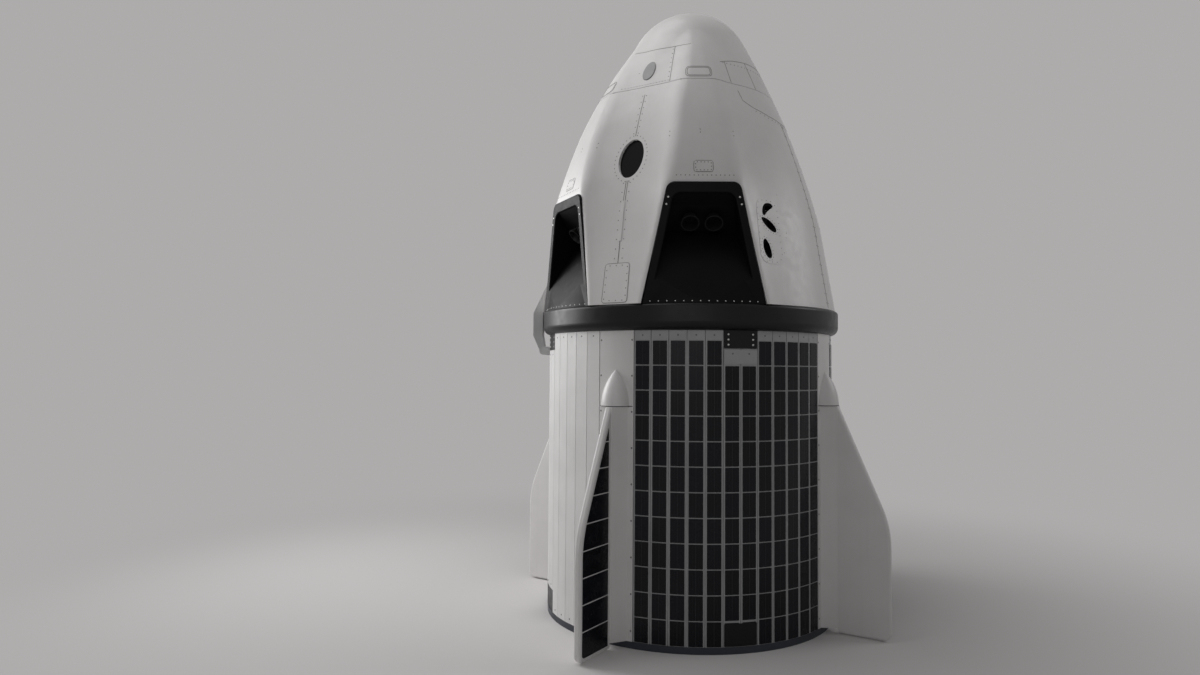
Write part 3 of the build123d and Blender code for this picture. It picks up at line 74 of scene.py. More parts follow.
# Driving sizes of the round skin and of the four engine pods, in metres
SKIRT_RADIUS = 1.945
KNEE_RADIUS = 1.756
KNEE = DECK + 1.098
CAP_EDGE_RADIUS = 0.740
CAP_DEPTH = 0.440
POD_AZIMUTH = 32.0
POD_SLOPE = 0.9
FLANK_END = math.atan(1 / POD_SLOPE)
FLANK_FALL = 3.0
POD_SIDE_TURN = math.radians(75)
VALLEY_FADE = 0.6
VALLEY_LEAST = 0.001
POD_LEVELS = [DECK, DECK + 1.440, DECK + 2.530, DECK + 3.7735]
POD_FACES = [1.815, 1.815, 1.4439, 0.640]
POD_HALF_WIDTHS = [0.735, 0.440, 0.290, 0.130]
RIDGE_ROUND = 0.10
BAY_RIDGE_ROUND = 0.03
VALLEY_ROUND = 0.16
HATCH_SIDE = 270.0
HATCH_VALLEY_SHARE = 0.12
HATCH_VALLEY_TURNS = (18.0, 32.0)
LEVEL_BLEND = 0.22

# Trunk pattern
QUADRANT_MARGIN = 7.15
STRIPS_PER_QUADRANT = 12
STRIP_PITCH = (90.0 - 2 * QUADRANT_MARGIN) / STRIPS_PER_QUADRANT
STRIP_FACE = 1.8951
CELL_ROWS = 12
CELL_TOP = TRUNK_TOP - 0.115
CELL_PITCH = (CELL_TOP - RING_TOP) / CELL_ROWS

# Camera of the photograph, which is taken to be 1200 by 675 pixels
IMAGE_WIDTH = 1200.0
FOCAL_PIXELS = 805.33
SENSOR_WIDTH = 36.0
CAMERA_DISTANCE = 11.145
CAMERA_HEIGHT = 3.222
CAMERA_AZIMUTH = 26.4
CAMERA_PITCH = 2.148
CAMERA_YAW = 6.244
CAMERA_ROLL = -0.408


def outward(azimuth):
    """Level direction away from the axis, with azimuth 0 at -Y and 90 at +X."""
    turn = math.radians(azimuth)
    return Vector((math.sin(turn), -math.cos(turn), 0.0))


def sideways(azimuth):
    """Level direction along the skin, towards growing azimuth."""
    turn = math.radians(azimuth)
    return Vector((math.cos(turn), math.sin(turn), 0.0))


# Form of the skin

CAP_RADIUS = (CAP_EDGE_RADIUS**2 + CAP_DEPTH**2) / (2 * CAP_DEPTH)
CAP_CENTRE = TOP - CAP_RADIUS
CAP_EDGE = TOP - CAP_DEPTH
EDGE_NORMAL = np.array([CAP_EDGE_RADIUS, CAP_EDGE - CAP_CENTRE]) / CAP_RADIUS
KNEE_DROP = np.array([KNEE_RADIUS - CAP_EDGE_RADIUS, KNEE - CAP_EDGE])
OGIVE_RADIUS = -(KNEE_DROP @ KNEE_DROP) / (2 * (EDGE_NORMAL @ KNEE_DROP))
OGIVE_CENTRE = np.array([CAP_EDGE_RADIUS, CAP_EDGE]) - OGIVE_RADIUS * EDGE_NORMAL


def circle_through(points):
    """Centre and radius of the circle through three points."""
    (ax, ay), (bx, by), (cx, cy) = points
    rows = np.array([[bx - ax, by - ay], [cx - ax, cy - ay]])
    right = np.array([bx**2 - ax**2 + by**2 - ay**2, cx**2 - ax**2 + cy**2 - ay**2]) / 2
    centre = np.linalg.solve(rows, right)
    return centre, math.hypot(ax - centre[0], ay - centre[1])


FACE_CENTRE, FACE_RADIUS = circle_through(list(zip(POD_FACES[1:], POD_LEVELS[1:])))


def round_skin(height):
    """Radius of the skin between the pods: a straight skirt, an ogive and a round cap."""
    skirt = SKIRT_RADIUS + (KNEE_RADIUS - SKIRT_RADIUS) * (height - DECK) / (KNEE - DECK)
    ogive = OGIVE_CENTRE[0] + np.sqrt(np.maximum(OGIVE_RADIUS**2 - (height - OGIVE_CENTRE[1]) ** 2, 0))
    cap = np.sqrt(np.maximum(CAP_RADIUS**2 - (height - CAP_CENTRE) ** 2, 0))
    return np.where(height < KNEE, skirt, np.where(height < CAP_EDGE, ogive, cap))


def pod_face(height):
    """Radius of a pod's flat face at its middle: upright, then leaning in along an arc."""
    lean = FACE_CENTRE[0] + np.sqrt(np.maximum(FACE_RADIUS**2 - (height - FACE_CENTRE[1]) ** 2, 0))
    return np.where(height < POD_LEVELS[1], POD_FACES[0], lean)


def flank_reach(height, blend):
    """Half width plus slope times face radius, which sets the two flanks of a pod."""
    reach = [w + POD_SLOPE * f for w, f in zip(POD_HALF_WIDTHS, POD_FACES)]
    levels = list(POD_LEVELS)
    for end, inner, step in ((0, 1, -1.0), (-1, -2, 1.0)):
        slope = (reach[end] - reach[inner]) / (levels[end] - levels[inner])
        new_level, new_reach = levels[end] + step, reach[end] + step * slope
        spot = 0 if end == 0 else len(levels)
        levels.insert(spot, new_level)
        reach.insert(spot, new_reach)
    shifts = np.linspace(-blend, blend, 9)
    return np.mean([np.interp(height + shift, levels, reach) for shift in shifts], axis=0)


def smooth_max(a, b, size):
    """The larger of two values, rounded where they cross."""
    if np.all(size <= 0):
        return np.maximum(a, b)
    near = np.maximum(size - np.abs(a - b), 0) / size
    return np.maximum(a, b) + near**2 * size / 4


def skin_radius(azimuth, height, rounded=True):
    """Radius of the outer skin, with the pods' ridges and valleys rounded or left sharp."""
    off_hatch = np.abs((azimuth - HATCH_SIDE + 180) % 360 - 180)
    share = np.interp(off_hatch, HATCH_VALLEY_TURNS, (HATCH_VALLEY_SHARE, 1.0))
    share = share * np.clip((POD_LEVELS[-1] - height) / VALLEY_FADE, VALLEY_LEAST, 1.0)
    valley = VALLEY_ROUND * share if rounded else 0.0
    low = POD_LEVELS[1] - LEVEL_BLEND
    share = np.clip((height - low) / (2 * LEVEL_BLEND), 0, 1)
    ridge = (BAY_RIDGE_ROUND + (RIDGE_ROUND - BAY_RIDGE_ROUND) * share) if rounded else 0.0
    reach = flank_reach(height, LEVEL_BLEND if rounded else 0.0)
    radius = round_skin(height)
    for pod in (POD_AZIMUTH, -POD_AZIMUTH, 180 - POD_AZIMUTH, 180 + POD_AZIMUTH):
        turn = np.radians(np.abs((azimuth - pod + 180) % 360 - 180))
        ahead = turn < POD_SIDE_TURN
        near = np.minimum(turn, FLANK_END)
        face = pod_face(height) / np.where(ahead, np.cos(turn), 1.0)
        flank = reach / (np.sin(near) + POD_SLOPE * np.cos(near)) - FLANK_FALL * (turn - near) ** 2
        pod_skin = -smooth_max(-face, -flank, ridge)
        usable = ahead & (height < POD_LEVELS[-1])
        radius = np.where(usable, smooth_max(radius, np.where(usable, pod_skin, 0.0), valley), radius)
    return radius


NORMAL_TURN = 0.15
NORMAL_RISE = 0.006


def skin_normals(azimuth, height):
    """Outward normals of the rounded skin, from its slopes round and up."""
    radius = skin_radius(azimuth, height)
    ahead, behind = (skin_radius(azimuth + step, height) for step in (NORMAL_TURN, -NORMAL_TURN))
    above, below = (skin_radius(azimuth, height + step) for step in (NORMAL_RISE, -NORMAL_RISE))
    lean_round = (ahead - behind) / math.radians(2 * NORMAL_TURN) / np.maximum(radius, SKIN_LEAST_RADIUS)
    lean_up = (above - below) / (2 * NORMAL_RISE)
    turn = np.radians(azimuth)
    across = np.sin(turn) - np.cos(turn) * lean_round
    along = -np.cos(turn) - np.sin(turn) * lean_round
    normals = np.stack([across, along, -lean_up], axis=-1)
    return normals / np.linalg.norm(normals, axis=-1, keepdims=True)


def on_skin(azimuths, heights, lift=0.0):
    """Points on the rounded skin, or that far outside it, with their normals."""
    azimuths = np.atleast_1d(np.asarray(azimuths, float))
    heights = np.atleast_1d(np.asarray(heights, float))
    radius = skin_radius(azimuths, heights)
    turn = np.radians(azimuths)
    normals = skin_normals(azimuths, heights)
    points = np.stack([radius * np.sin(turn), -radius * np.cos(turn), heights], axis=-1)
    return points + normals * np.reshape(lift, (-1, 1)), normals


# Mesh helpers

WELD = 1e-5
CLOSED = 1e-6
SWEEP_SMOOTH = 40.0
HEAD_SMOOTH = 60.0
PLATE_SMOOTH = 35.0
PLATE_STEP = 0.03


def link(name, mesh, material, body="vehicle"):
    """New piece from a mesh, finished with a material and carried by a body."""
    piece = bpy.data.objects.new(name, mesh)
    bpy.context.scene.collection.objects.link(piece)
    mesh.materials.clear()
    mesh.materials.append(material)
    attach(piece, body)
    return piece


def shade_smooth(mesh, angle):
    """Smooth shading between the edges that turn by more than an angle."""
    mesh.polygons.foreach_set("use_smooth", [True] * len(mesh.polygons))
    mesh.set_sharp_from_angle(angle=math.radians(angle))


def from_lists(name, points, faces, smooth_angle=None):
    """Mesh from lists of points and faces."""
    mesh = bpy.data.meshes.new(name)
    mesh.from_pydata([tuple(p) for p in points], [], faces)
    mesh.validate()
    tidy = bmesh.new()
    tidy.from_mesh(mesh)
    bmesh.ops.recalc_face_normals(tidy, faces=tidy.faces[:])
    tidy.to_mesh(mesh)
    tidy.free()
    mesh.update()
    if smooth_angle is not None:
        shade_smooth(mesh, smooth_angle)
    return mesh


def level_planes(heights):
    return [((0, 0, z), (0, 0, 1)) for z in heights]


def upright_planes(azimuths):
    return [((0, 0, 0), sideways(azimuth)) for azimuth in azimuths]


def cut_by_planes(mesh, planes, only=None):
    """Cut a bmesh, or only some elements of it, along planes given as point and normal."""
    for point, normal in planes:
        chosen = mesh.verts[:] + mesh.edges[:] + mesh.faces[:] if only is None else only
        cut = bmesh.ops.bisect_plane(mesh, geom=chosen, plane_co=point, plane_no=normal, dist=WELD)
        if only is not None:
            only = cut["geom"]


SKIN_TOLERANCE = 0.006
SKIN_LEVEL_STEP = 0.045
SKIN_TURN_STEP = 1.25
SKIN_SHARP_ANGLE = 28.0
SKIN_FACING = 0.75
SKIN_LEAST_RADIUS = 0.05

QUARTERS = [
    # azimuth of the plane that the quarter is mirrored from, sense of its turning
    (0.0, 1.0), (0.0, -1.0), (180.0, 1.0), (180.0, -1.0),
]
PORT_AZIMUTH = 58.0
PORT_HEIGHT = 4.870
PORT_CUT_TALL = 0.450
PORT_CUT_RADIUS = 1.640
PORT_CUT_FACING = math.cos(math.radians(7.5))
PORT_CUT_STEP = 0.020
PORT_CUT_TURN = 6.0
PORT_CUT_TURN_STEP = 0.75


def smooth_wall(node, turns):
    """A wall of the capsule with its outer face moved onto the rounded form of the skin."""
    mesh = bmesh.new()
    mesh.from_mesh(NODES[node].data)
    bmesh.ops.remove_doubles(mesh, verts=mesh.verts, dist=2 * WELD)
    low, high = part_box(node)
    levels = np.arange(low.z + SKIN_LEVEL_STEP, high.z, SKIN_LEVEL_STEP)
    cut_by_planes(mesh, level_planes(levels) + upright_planes(turns))
    for base, sense in QUARTERS:
        cut_near_ports(mesh, base, sense)
    spots = np.array([v.co for v in mesh.verts])
    radius = np.hypot(spots[:, 0], spots[:, 1])
    azimuth = np.degrees(np.arctan2(spots[:, 0], -spots[:, 1]))
    outer = np.abs(radius - skin_radius(azimuth, spots[:, 2], rounded=False)) < SKIN_TOLERANCE
    wanted = skin_radius(azimuth, spots[:, 2])
    for vertex, moves, old, new in zip(mesh.verts, outer, radius, wanted):
        if moves and old > SKIN_LEAST_RADIUS:
            vertex.co.x *= new / old
            vertex.co.y *= new / old
    data = bpy.data.meshes.new(node + "_dressed")
    mesh.to_mesh(data)
    mesh.free()
    shade_smooth(data, SKIN_SHARP_ANGLE)
    set_skin_normals(data, outer, skin_normals(azimuth, spots[:, 2]))
    piece = link(node + "_dressed", data, WHITE, NODES[node]["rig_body"])
    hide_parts(node)
    return piece


def cut_near_ports(mesh, base, sense):
    """Finer cuts in the skin round the three ports of a quarter, if this piece has them."""
    gaze = outward(base + sense * PORT_AZIMUTH)
    near = []
    for face in mesh.faces:
        middle = face.calc_center_median()
        level = Vector((middle.x, middle.y, 0.0))
        if abs(middle.z - PORT_HEIGHT) < PORT_CUT_TALL and level.length > PORT_CUT_RADIUS:
            if level.normalized().dot(gaze) > PORT_CUT_FACING:
                near.append(face)
    if not near:
        return
    edges = dict.fromkeys(edge for face in near for edge in face.edges)
    corners = dict.fromkeys(corner for face in near for corner in face.verts)
    heights = PORT_HEIGHT + np.arange(-PORT_CUT_TALL, PORT_CUT_TALL, PORT_CUT_STEP)
    turns = PORT_AZIMUTH + np.arange(-PORT_CUT_TURN, PORT_CUT_TURN, PORT_CUT_TURN_STEP)
    planes = level_planes(heights) + upright_planes(base + sense * turns)
    cut_by_planes(mesh, planes, list(edges) + list(corners) + near)


def set_skin_normals(data, outer, normals):
    """Shade the faces of the outer skin by its true normals; the rest keep their own."""
    wanted = np.zeros((len(data.loops), 3))
    for polygon in data.polygons:
        corners = list(polygon.vertices)
        if outer[corners].all():
            true = normals[corners]
            if (true @ np.array(polygon.normal)).min() > SKIN_FACING:
                wanted[list(polygon.loop_indices)] = true
    data.normals_split_custom_set(wanted.tolist())


def band(here, there, size):
    """Faces between two closed rings of points, each given by the index of its first point."""
    sides = [(index, (index + 1) % size) for index in range(size)]
    return [(here + a, here + b, there + b, there + a) for a, b in sides]


def sweep(name, paths, section, material, body="vehicle"):
    """Bars along paths of points and normals; a section is offsets aside and out, in metres."""
    points, faces = [], []
    size = len(section)
    for places, normals in paths:
        places = [Vector(place) for place in places]
        loop = (places[0] - places[-1]).length < CLOSED
        count = len(places) - 1 if loop else len(places)
        start = len(points)
        for index in range(count):
            before = places[(index - 1) % count] if loop else places[max(index - 1, 0)]
            after = places[(index + 1) % count] if loop else places[min(index + 1, count - 1)]
            normal = Vector(normals[index])
            side = normal.cross(after - before).normalized()
            points += [places[index] + side * aside + normal * out for aside, out in section]
        for index in range(count if loop else count - 1):
            faces += band(start + index * size, start + (index + 1) % count * size, size)
        if not loop:
            faces.append(tuple(range(start, start + size)))
            faces.append(tuple(range(start + (count - 1) * size, start + count * size)))
    return link(name, from_lists(name, points, faces, SWEEP_SMOOTH), material, body)


def flat_section(width, height):
    """Section of a thin raised strip that is sunk a little into what it lies on."""
    return [(-width / 2, -height), (-width * 0.4, height), (width * 0.4, height), (width / 2, -height)]


def round_section(radius, sides=10):
    turns = [2 * math.pi * index / sides for index in range(sides)]
    return [(radius * math.cos(turn), radius * math.sin(turn)) for turn in turns]


HEAD_RINGS = [
    # share of the radius, share of the height
    (1.0, -0.6), (1.0, 0.35), (0.72, 0.82),
]
HEAD_SIDES = 8


def heads(name, spots, size, material, body="vehicle"):
    """Low round heads of rivets or bolts, one at each point and normal that was found."""
    radius, height = size
    points, faces = [], []
    for place, normal in filter(None, spots):
        place, normal = Vector(place), Vector(normal)
        across = normal.orthogonal().normalized()
        along = normal.cross(across)
        start = len(points)
        for share, rise in HEAD_RINGS:
            for index in range(HEAD_SIDES):
                turn = 2 * math.pi * index / HEAD_SIDES
                spoke = across * math.cos(turn) + along * math.sin(turn)
                points.append(place + normal * rise * height + spoke * radius * share)
        points.append(place + normal * height)
        top = len(points) - 1
        last = start + (len(HEAD_RINGS) - 1) * HEAD_SIDES
        for ring in range(start, last, HEAD_SIDES):
            faces += band(ring, ring + HEAD_SIDES, HEAD_SIDES)
        for index in range(HEAD_SIDES):
            faces.append((last + index, last + (index + 1) % HEAD_SIDES, top))
        faces.append(tuple(start + index for index in reversed(range(HEAD_SIDES))))
    return link(name, from_lists(name, points, faces, HEAD_SMOOTH), material, body)


def plate(name, outlines, place, thickness, material, step=PLATE_STEP, body="vehicle"):
    """Thin plate bent onto a surface: outlines are its edge and its holes, place puts it there."""
    flat = bmesh.new()
    for outline in outlines:
        corners = [flat.verts.new((x, y, 0.0)) for x, y in outline]
        for a, b in zip(corners, corners[1:] + corners[:1]):
            flat.edges.new((a, b))
    bmesh.ops.triangle_fill(flat, use_beauty=True, edges=flat.edges[:])
    corners = np.array([v.co for v in flat.verts])
    for axis, normal in enumerate((Vector((1, 0, 0)), Vector((0, 1, 0)))):
        first, last = (math.floor(f(corners[:, axis]) / step) for f in (np.min, np.max))
        cut_by_planes(flat, [(normal * (index * step), normal) for index in range(first, last + 1)])
    raised = bmesh.ops.extrude_face_region(flat, geom=flat.faces[:])["geom"]
    for vertex in flat.verts:
        vertex.co.z = -thickness / 2
    for item in raised:
        if isinstance(item, bmesh.types.BMVert):
            item.co.z = thickness
    bmesh.ops.remove_doubles(flat, verts=flat.verts[:], dist=WELD)
    spots = np.array([v.co for v in flat.verts])
    for vertex, spot in zip(flat.verts, place(spots[:, 0], spots[:, 1], spots[:, 2])):
        vertex.co = spot
    bmesh.ops.recalc_face_normals(flat, faces=flat.faces[:])
    mesh = bpy.data.meshes.new(name)
    flat.to_mesh(mesh)
    flat.free()
    shade_smooth(mesh, PLATE_SMOOTH)
    return link(name, mesh, material, body)


def rounded_box(half_width, half_tall, corner, sides=5):
    """Outline of a rectangle with round corners."""
    outline = []
    for quarter, (x, y) in enumerate(((1, 1), (-1, 1), (-1, -1), (1, -1))):
        for index in range(sides + 1):
            turn = math.radians(90 * quarter + 90 * index / sides)
            outline.append((x * (half_width - corner) + corner * math.cos(turn),
                            y * (half_tall - corner) + corner * math.sin(turn)))
    return outline


def oval(half_width, half_tall, sides=32):
    turns = [2 * math.pi * index / sides for index in range(sides)]
    return [(half_width * math.cos(turn), half_tall * math.sin(turn)) for turn in turns]


def walk(outline, step):
    """Points about step apart along a closed outline."""
    ring = [Vector(corner) for corner in outline] + [Vector(outline[0])]
    lengths = [(b - a).length for a, b in zip(ring, ring[1:])]
    count = max(3, round(sum(lengths) / step))
    spots, index, gone = [], 0, 0.0
    for number in range(count):
        target = number * sum(lengths) / count
        while gone + lengths[index] < target:
            gone += lengths[index]
            index += 1
        spots.append(ring[index].lerp(ring[index + 1], (target - gone) / lengths[index]))
    return [(spot.x, spot.y) for spot in spots]


def spread(first, last, step):
    """Evenly spaced values from first to last, about step apart."""
    return np.linspace(first, last, max(2, round(abs(last - first) / step) + 1)).tolist()


def skin_reach(azimuth, height):
    return float(skin_radius(np.array([azimuth]), np.array([height]))[0])


def on_skin_at(azimuth, height, base=0.0, sense=1.0):
    """Rule that bends a flat drawing onto the skin round a point, in one quarter of the vehicle."""
    reach = skin_reach(azimuth, height)

    def place(x, y, lift):
        turns = base + sense * (azimuth + np.degrees(x / reach))
        return on_skin(turns, height + y, lift)[0]

    return place


def row(azimuths, heights, base=0.0, sense=1.0, lift=0.0):
    """Points and normals on the skin at paired azimuths and heights."""
    azimuths, heights = np.broadcast_arrays(np.atleast_1d(azimuths), heights)
    points, normals = on_skin(base + sense * azimuths, heights, np.full(len(azimuths), lift))
    return list(zip(points.tolist(), normals.tolist()))


def skin_spots(drawing, azimuth, height, base=0.0, sense=1.0, lift=0.0):
    """Points and normals on the skin for the points of a flat drawing."""
    x, y = np.array(drawing, float).T
    return row(azimuth + np.degrees(x / skin_reach(azimuth, height)), height + y, base, sense, lift)


PATH_STEP = 0.03
METRES_PER_DEGREE = 0.028


def skin_path(stops, base=0.0, sense=1.0):
    """Closely spaced points and normals on the skin along runs between azimuths and heights."""
    path = [stops[0]]
    for a, b in zip(stops, stops[1:]):
        run = math.hypot((b[0] - a[0]) * METRES_PER_DEGREE, b[1] - a[1])
        count = max(1, math.ceil(run / PATH_STEP))
        for index in range(1, count + 1):
            share = index / count
            path.append((a[0] + (b[0] - a[0]) * share, a[1] + (b[1] - a[1]) * share))
    turns, heights = (np.array(values) for values in zip(*path))
    points, normals = on_skin(base + sense * turns, heights)
    return points.tolist(), normals.tolist()


def closed_path(spots):
    """Path of points and normals that ends where it starts."""
    ring = spots + spots[:1]
    return [place for place, normal in ring], [normal for place, normal in ring]


def skin_loop(outline, azimuth, height, base=0.0, sense=1.0):
    """Closed path on the skin along a flat outline."""
    return closed_path(skin_spots(walk(outline, PATH_STEP), azimuth, height, base, sense))


def surface_of(*names):
    """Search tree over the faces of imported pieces."""
    points, faces = [], []
    for name in names:
        mesh = NODES[name].data
        start = len(points)
        points += [vertex.co.copy() for vertex in mesh.vertices]
        faces += [[start + index for index in polygon.vertices] for polygon in mesh.polygons]
    return BVHTree.FromPolygons(points, faces)


OUTSIDE = 3.2


def seen_from_outside(tree, azimuth, aside, height):
    """Point and normal where a level line towards the axis meets a surface, or None."""
    start = outward(azimuth) * OUTSIDE + sideways(azimuth) * aside + Vector((0, 0, height))
    place, normal, index, distance = tree.ray_cast(start, -outward(azimuth))
    if place is None:
        return None
    if normal.dot(outward(azimuth)) < 0:
        normal = -normal
    return place, normal


# Materials

def add_node(tree, kind, inputs=None, **settings):
    """Shader node with its settings and inputs; an input is a value or another node's socket."""
    made = tree.nodes.new(kind)
    for key, value in settings.items():
        setattr(made, key, value)
    for key, value in (inputs or {}).items():
        if isinstance(value, bpy.types.NodeSocket):
            tree.links.new(value, made.inputs[key])
        else:
            made.inputs[key].default_value = value
    return made


def rgba(colour, factor=1.0):
    return (colour[0] * factor, colour[1] * factor, colour[2] * factor, 1.0)


def mix_colours(tree, factor, a, b):
    """Colour between a and b; the three may be values or sockets."""
    return add_node(tree, "ShaderNodeMix", {0: factor, 6: a, 7: b}, data_type="RGBA").outputs[2]


def arith(tree, operation, a, b=0.0):
    """Math node; each operand is a number or a socket."""
    return add_node(tree, "ShaderNodeMath", {0: a, 1: b}, operation=operation).outputs[0]


def ramp_value(tree, value, low, high, out_low, out_high):
    """Value carried from one range to another, clamped."""
    ends = {"Value": value, "From Min": low, "From Max": high, "To Min": out_low, "To Max": out_high}
    return add_node(tree, "ShaderNodeMapRange", ends).outputs["Result"]


NOISE_ROUGHNESS = 0.55
NOISE_SPAN = (0.3, 0.7)
CLOUDS = (1.9, 5.0)
STREAK_STRETCH = (11.0, 11.0, 0.45)
STREAK_RUNS = (1.6, 4.0)
STREAK_SPAN = (0.52, 0.78)
STREAK_DARK = 0.45
GLOSS_PATCHES = (9.0, 4.0)
GRAIN_DETAIL = 2.0
GRAIN_STRENGTH = 0.5


def noise(tree, place, scale, detail):
    settings = {"Vector": place, "Scale": scale, "Detail": detail, "Roughness": NOISE_ROUGHNESS}
    return add_node(tree, "ShaderNodeTexNoise", settings).outputs["Fac"]


def finish(name, colour, roughness, tone=0.06, rough_spread=0.08, streaks=0.06, grain=180.0,
           grain_height=0.0003, metallic=0.0, specular=0.5):
    """Painted or bare surface: cloudy tone, faint upright streaks, uneven gloss and a fine grain."""
    material = bpy.data.materials.new(name)
    material.use_nodes = True
    tree = material.node_tree
    shader = tree.nodes["Principled BSDF"]
    place = add_node(tree, "ShaderNodeTexCoord").outputs["Object"]
    clouds = ramp_value(tree, noise(tree, place, *CLOUDS), *NOISE_SPAN, 0.0, 1.0)
    shade = mix_colours(tree, clouds, rgba(colour, 1 - tone), rgba(colour, 1 + tone / 2))
    stretched = add_node(tree, "ShaderNodeMapping", {"Vector": place, "Scale": STREAK_STRETCH})
    runs = noise(tree, stretched.outputs["Vector"], *STREAK_RUNS)
    stain = ramp_value(tree, runs, *STREAK_SPAN, 0.0, streaks)
    shade = mix_colours(tree, stain, shade, rgba(colour, STREAK_DARK))
    tree.links.new(shade, shader.inputs["Base Color"])
    patches = noise(tree, place, *GLOSS_PATCHES)
    gloss = ramp_value(tree, patches, *NOISE_SPAN, roughness - rough_spread, roughness + rough_spread)
    tree.links.new(gloss, shader.inputs["Roughness"])
    fine = noise(tree, place, grain, GRAIN_DETAIL)
    relief = {"Height": fine, "Strength": GRAIN_STRENGTH, "Distance": grain_height}
    bump = add_node(tree, "ShaderNodeBump", relief)
    tree.links.new(bump.outputs["Normal"], shader.inputs["Normal"])
    shader.inputs["Metallic"].default_value = metallic
    shader.inputs["Specular IOR Level"].default_value = specular
    return material


CONDUCTORS = 6.0
CONDUCTOR_EDGE = (0.455, 0.475)
CONDUCTOR_SHARE = 0.07
CONDUCTOR_COLOUR = (0.20, 0.205, 0.22, 1.0)
MIDDLE_EDGE = (0.010, 0.016)
MIDDLE_SHARE = 0.22
MIDDLE_COLOUR = (0.12, 0.123, 0.13, 1.0)
BLUE_SHARE = 0.4
BLUE_COLOUR = (0.005, 0.006, 0.014, 1.0)


def solar_finish(name, lines):
    """Near-black cell glass; lines adds the fine upright conductors of the trunk's curved cells."""
    material = finish(name, (0.004, 0.0045, 0.006), 0.26, tone=0.3, rough_spread=0.05, streaks=0.0,
                      grain=400.0, grain_height=0.0001, specular=0.2)
    tree = material.node_tree
    shader = tree.nodes["Principled BSDF"]
    shade = shader.inputs["Base Color"].links[0].from_socket
    place = add_node(tree, "ShaderNodeTexCoord").outputs["Object"]
    parts = add_node(tree, "ShaderNodeSeparateXYZ", {"Vector": place})
    raised = arith(tree, "SUBTRACT", parts.outputs["Z"], RING_TOP)
    level = arith(tree, "FLOOR", arith(tree, "DIVIDE", raised, CELL_PITCH))
    turn = arith(tree, "ARCTAN2", parts.outputs["X"], arith(tree, "MULTIPLY", parts.outputs["Y"], -1.0))
    turn = arith(tree, "SUBTRACT", arith(tree, "DEGREES", turn), QUADRANT_MARGIN)
    strip = arith(tree, "DIVIDE", turn, STRIP_PITCH)
    column = arith(tree, "FLOOR", strip)
    if lines:
        across = arith(tree, "FRACT", strip)
        part = arith(tree, "FRACT", arith(tree, "MULTIPLY", across, CONDUCTORS))
        edge = arith(tree, "ABSOLUTE", arith(tree, "SUBTRACT", part, 0.5))
        fine = ramp_value(tree, edge, *CONDUCTOR_EDGE, 0.0, CONDUCTOR_SHARE)
        shade = mix_colours(tree, fine, shade, CONDUCTOR_COLOUR)
        middle = arith(tree, "ABSOLUTE", arith(tree, "SUBTRACT", across, 0.5))
        broad = ramp_value(tree, middle, *MIDDLE_EDGE, MIDDLE_SHARE, 0.0)
        shade = mix_colours(tree, broad, shade, MIDDLE_COLOUR)
    spot = add_node(tree, "ShaderNodeCombineXYZ", {"X": column, "Y": level, "Z": 0.0})
    random = add_node(tree, "ShaderNodeTexWhiteNoise", {"Vector": spot.outputs["Vector"]})
    blue = ramp_value(tree, random.outputs["Value"], 0.0, 1.0, 0.0, BLUE_SHARE)
    shade = mix_colours(tree, blue, shade, BLUE_COLOUR)
    tree.links.new(shade, shader.inputs["Base Color"])
    return material


def glass_finish(name, colour, roughness):
    """Dark window glass, seen as a deep gloss with a faint unevenness."""
    return finish(name, colour, roughness, tone=0.2, rough_spread=0.02, streaks=0.0, grain=60.0,
                  grain_height=0.0002, specular=0.2)


def seat_finish(name, colour):
    """Woven cloth of the seat pads."""
    material = finish(name, colour, 0.8, tone=0.12, rough_spread=0.06, streaks=0.0, grain=900.0,
                      grain_height=0.0008, specular=0.3)
    shader = material.node_tree.nodes["Principled BSDF"]
    shader.inputs["Sheen Weight"].default_value = 0.3
    return material


WHITE = finish("body_white", (0.78, 0.765, 0.76), 0.38, tone=0.05, rough_spread=0.07, streaks=0.05)
RADIATOR = finish("radiator_white", (0.76, 0.755, 0.75), 0.5, tone=0.07, streaks=0.08)
TRUNK_WHITE = finish("trunk_white", (0.62, 0.62, 0.62), 0.45, tone=0.07, streaks=0.08)
SHIELD = finish("shield_black", (0.006, 0.006, 0.007), 0.36, tone=0.3, rough_spread=0.05, streaks=0.0,
                specular=0.24)
BAY = finish("bay_black", (0.005, 0.005, 0.0055), 0.42, tone=0.25, rough_spread=0.05, streaks=0.0,
             specular=0.08)
# Painted shade: near-black for the skin seen through the port openings and for the port wells, standing in
# for the shade of their depth
PORT_SHADE_BLACK = finish("port_shade_black", (0.004, 0.004, 0.0045), 0.85, tone=0.2, rough_spread=0.05, streaks=0.0,
                    specular=0.05)
CELL = solar_finish("solar_cell", True)
FIN_CELL = solar_finish("fin_cell", False)
FRAME_GREY = finish("panel_frame", (0.42, 0.42, 0.43), 0.45, tone=0.1, streaks=0.06)
DARK_BAND = finish("base_dark", (0.030, 0.036, 0.050), 0.4, tone=0.2, streaks=0.1)
METAL = finish("bare_metal", (0.60, 0.60, 0.61), 0.38, tone=0.1, metallic=1.0, streaks=0.1, grain=320.0)
NOZZLE = finish("nozzle_metal", (0.022, 0.021, 0.021), 0.45, tone=0.25, metallic=0.6, streaks=0.15)
HINGE = finish("hinge_metal", (0.45, 0.45, 0.46), 0.35, tone=0.12, metallic=1.0, streaks=0.08)
GLASS = glass_finish("window_glass", (0.006, 0.006, 0.007), 0.08)
SEAT = seat_finish("seat_shell", (0.52, 0.52, 0.53))
CONSOLE = finish("console_black", (0.018, 0.018, 0.020), 0.45, tone=0.2)
SCREEN = glass_finish("screen_glass", (0.004, 0.005, 0.008), 0.06)
ARM = finish("arm_grey", (0.55, 0.55, 0.55), 0.4, tone=0.1, streaks=0.1)
SEAM_GREY = finish("seam_grey", (0.26, 0.255, 0.25), 0.6, tone=0.2)
SEAM_DARK = finish("seam_dark", (0.045, 0.044, 0.043), 0.55, tone=0.2)
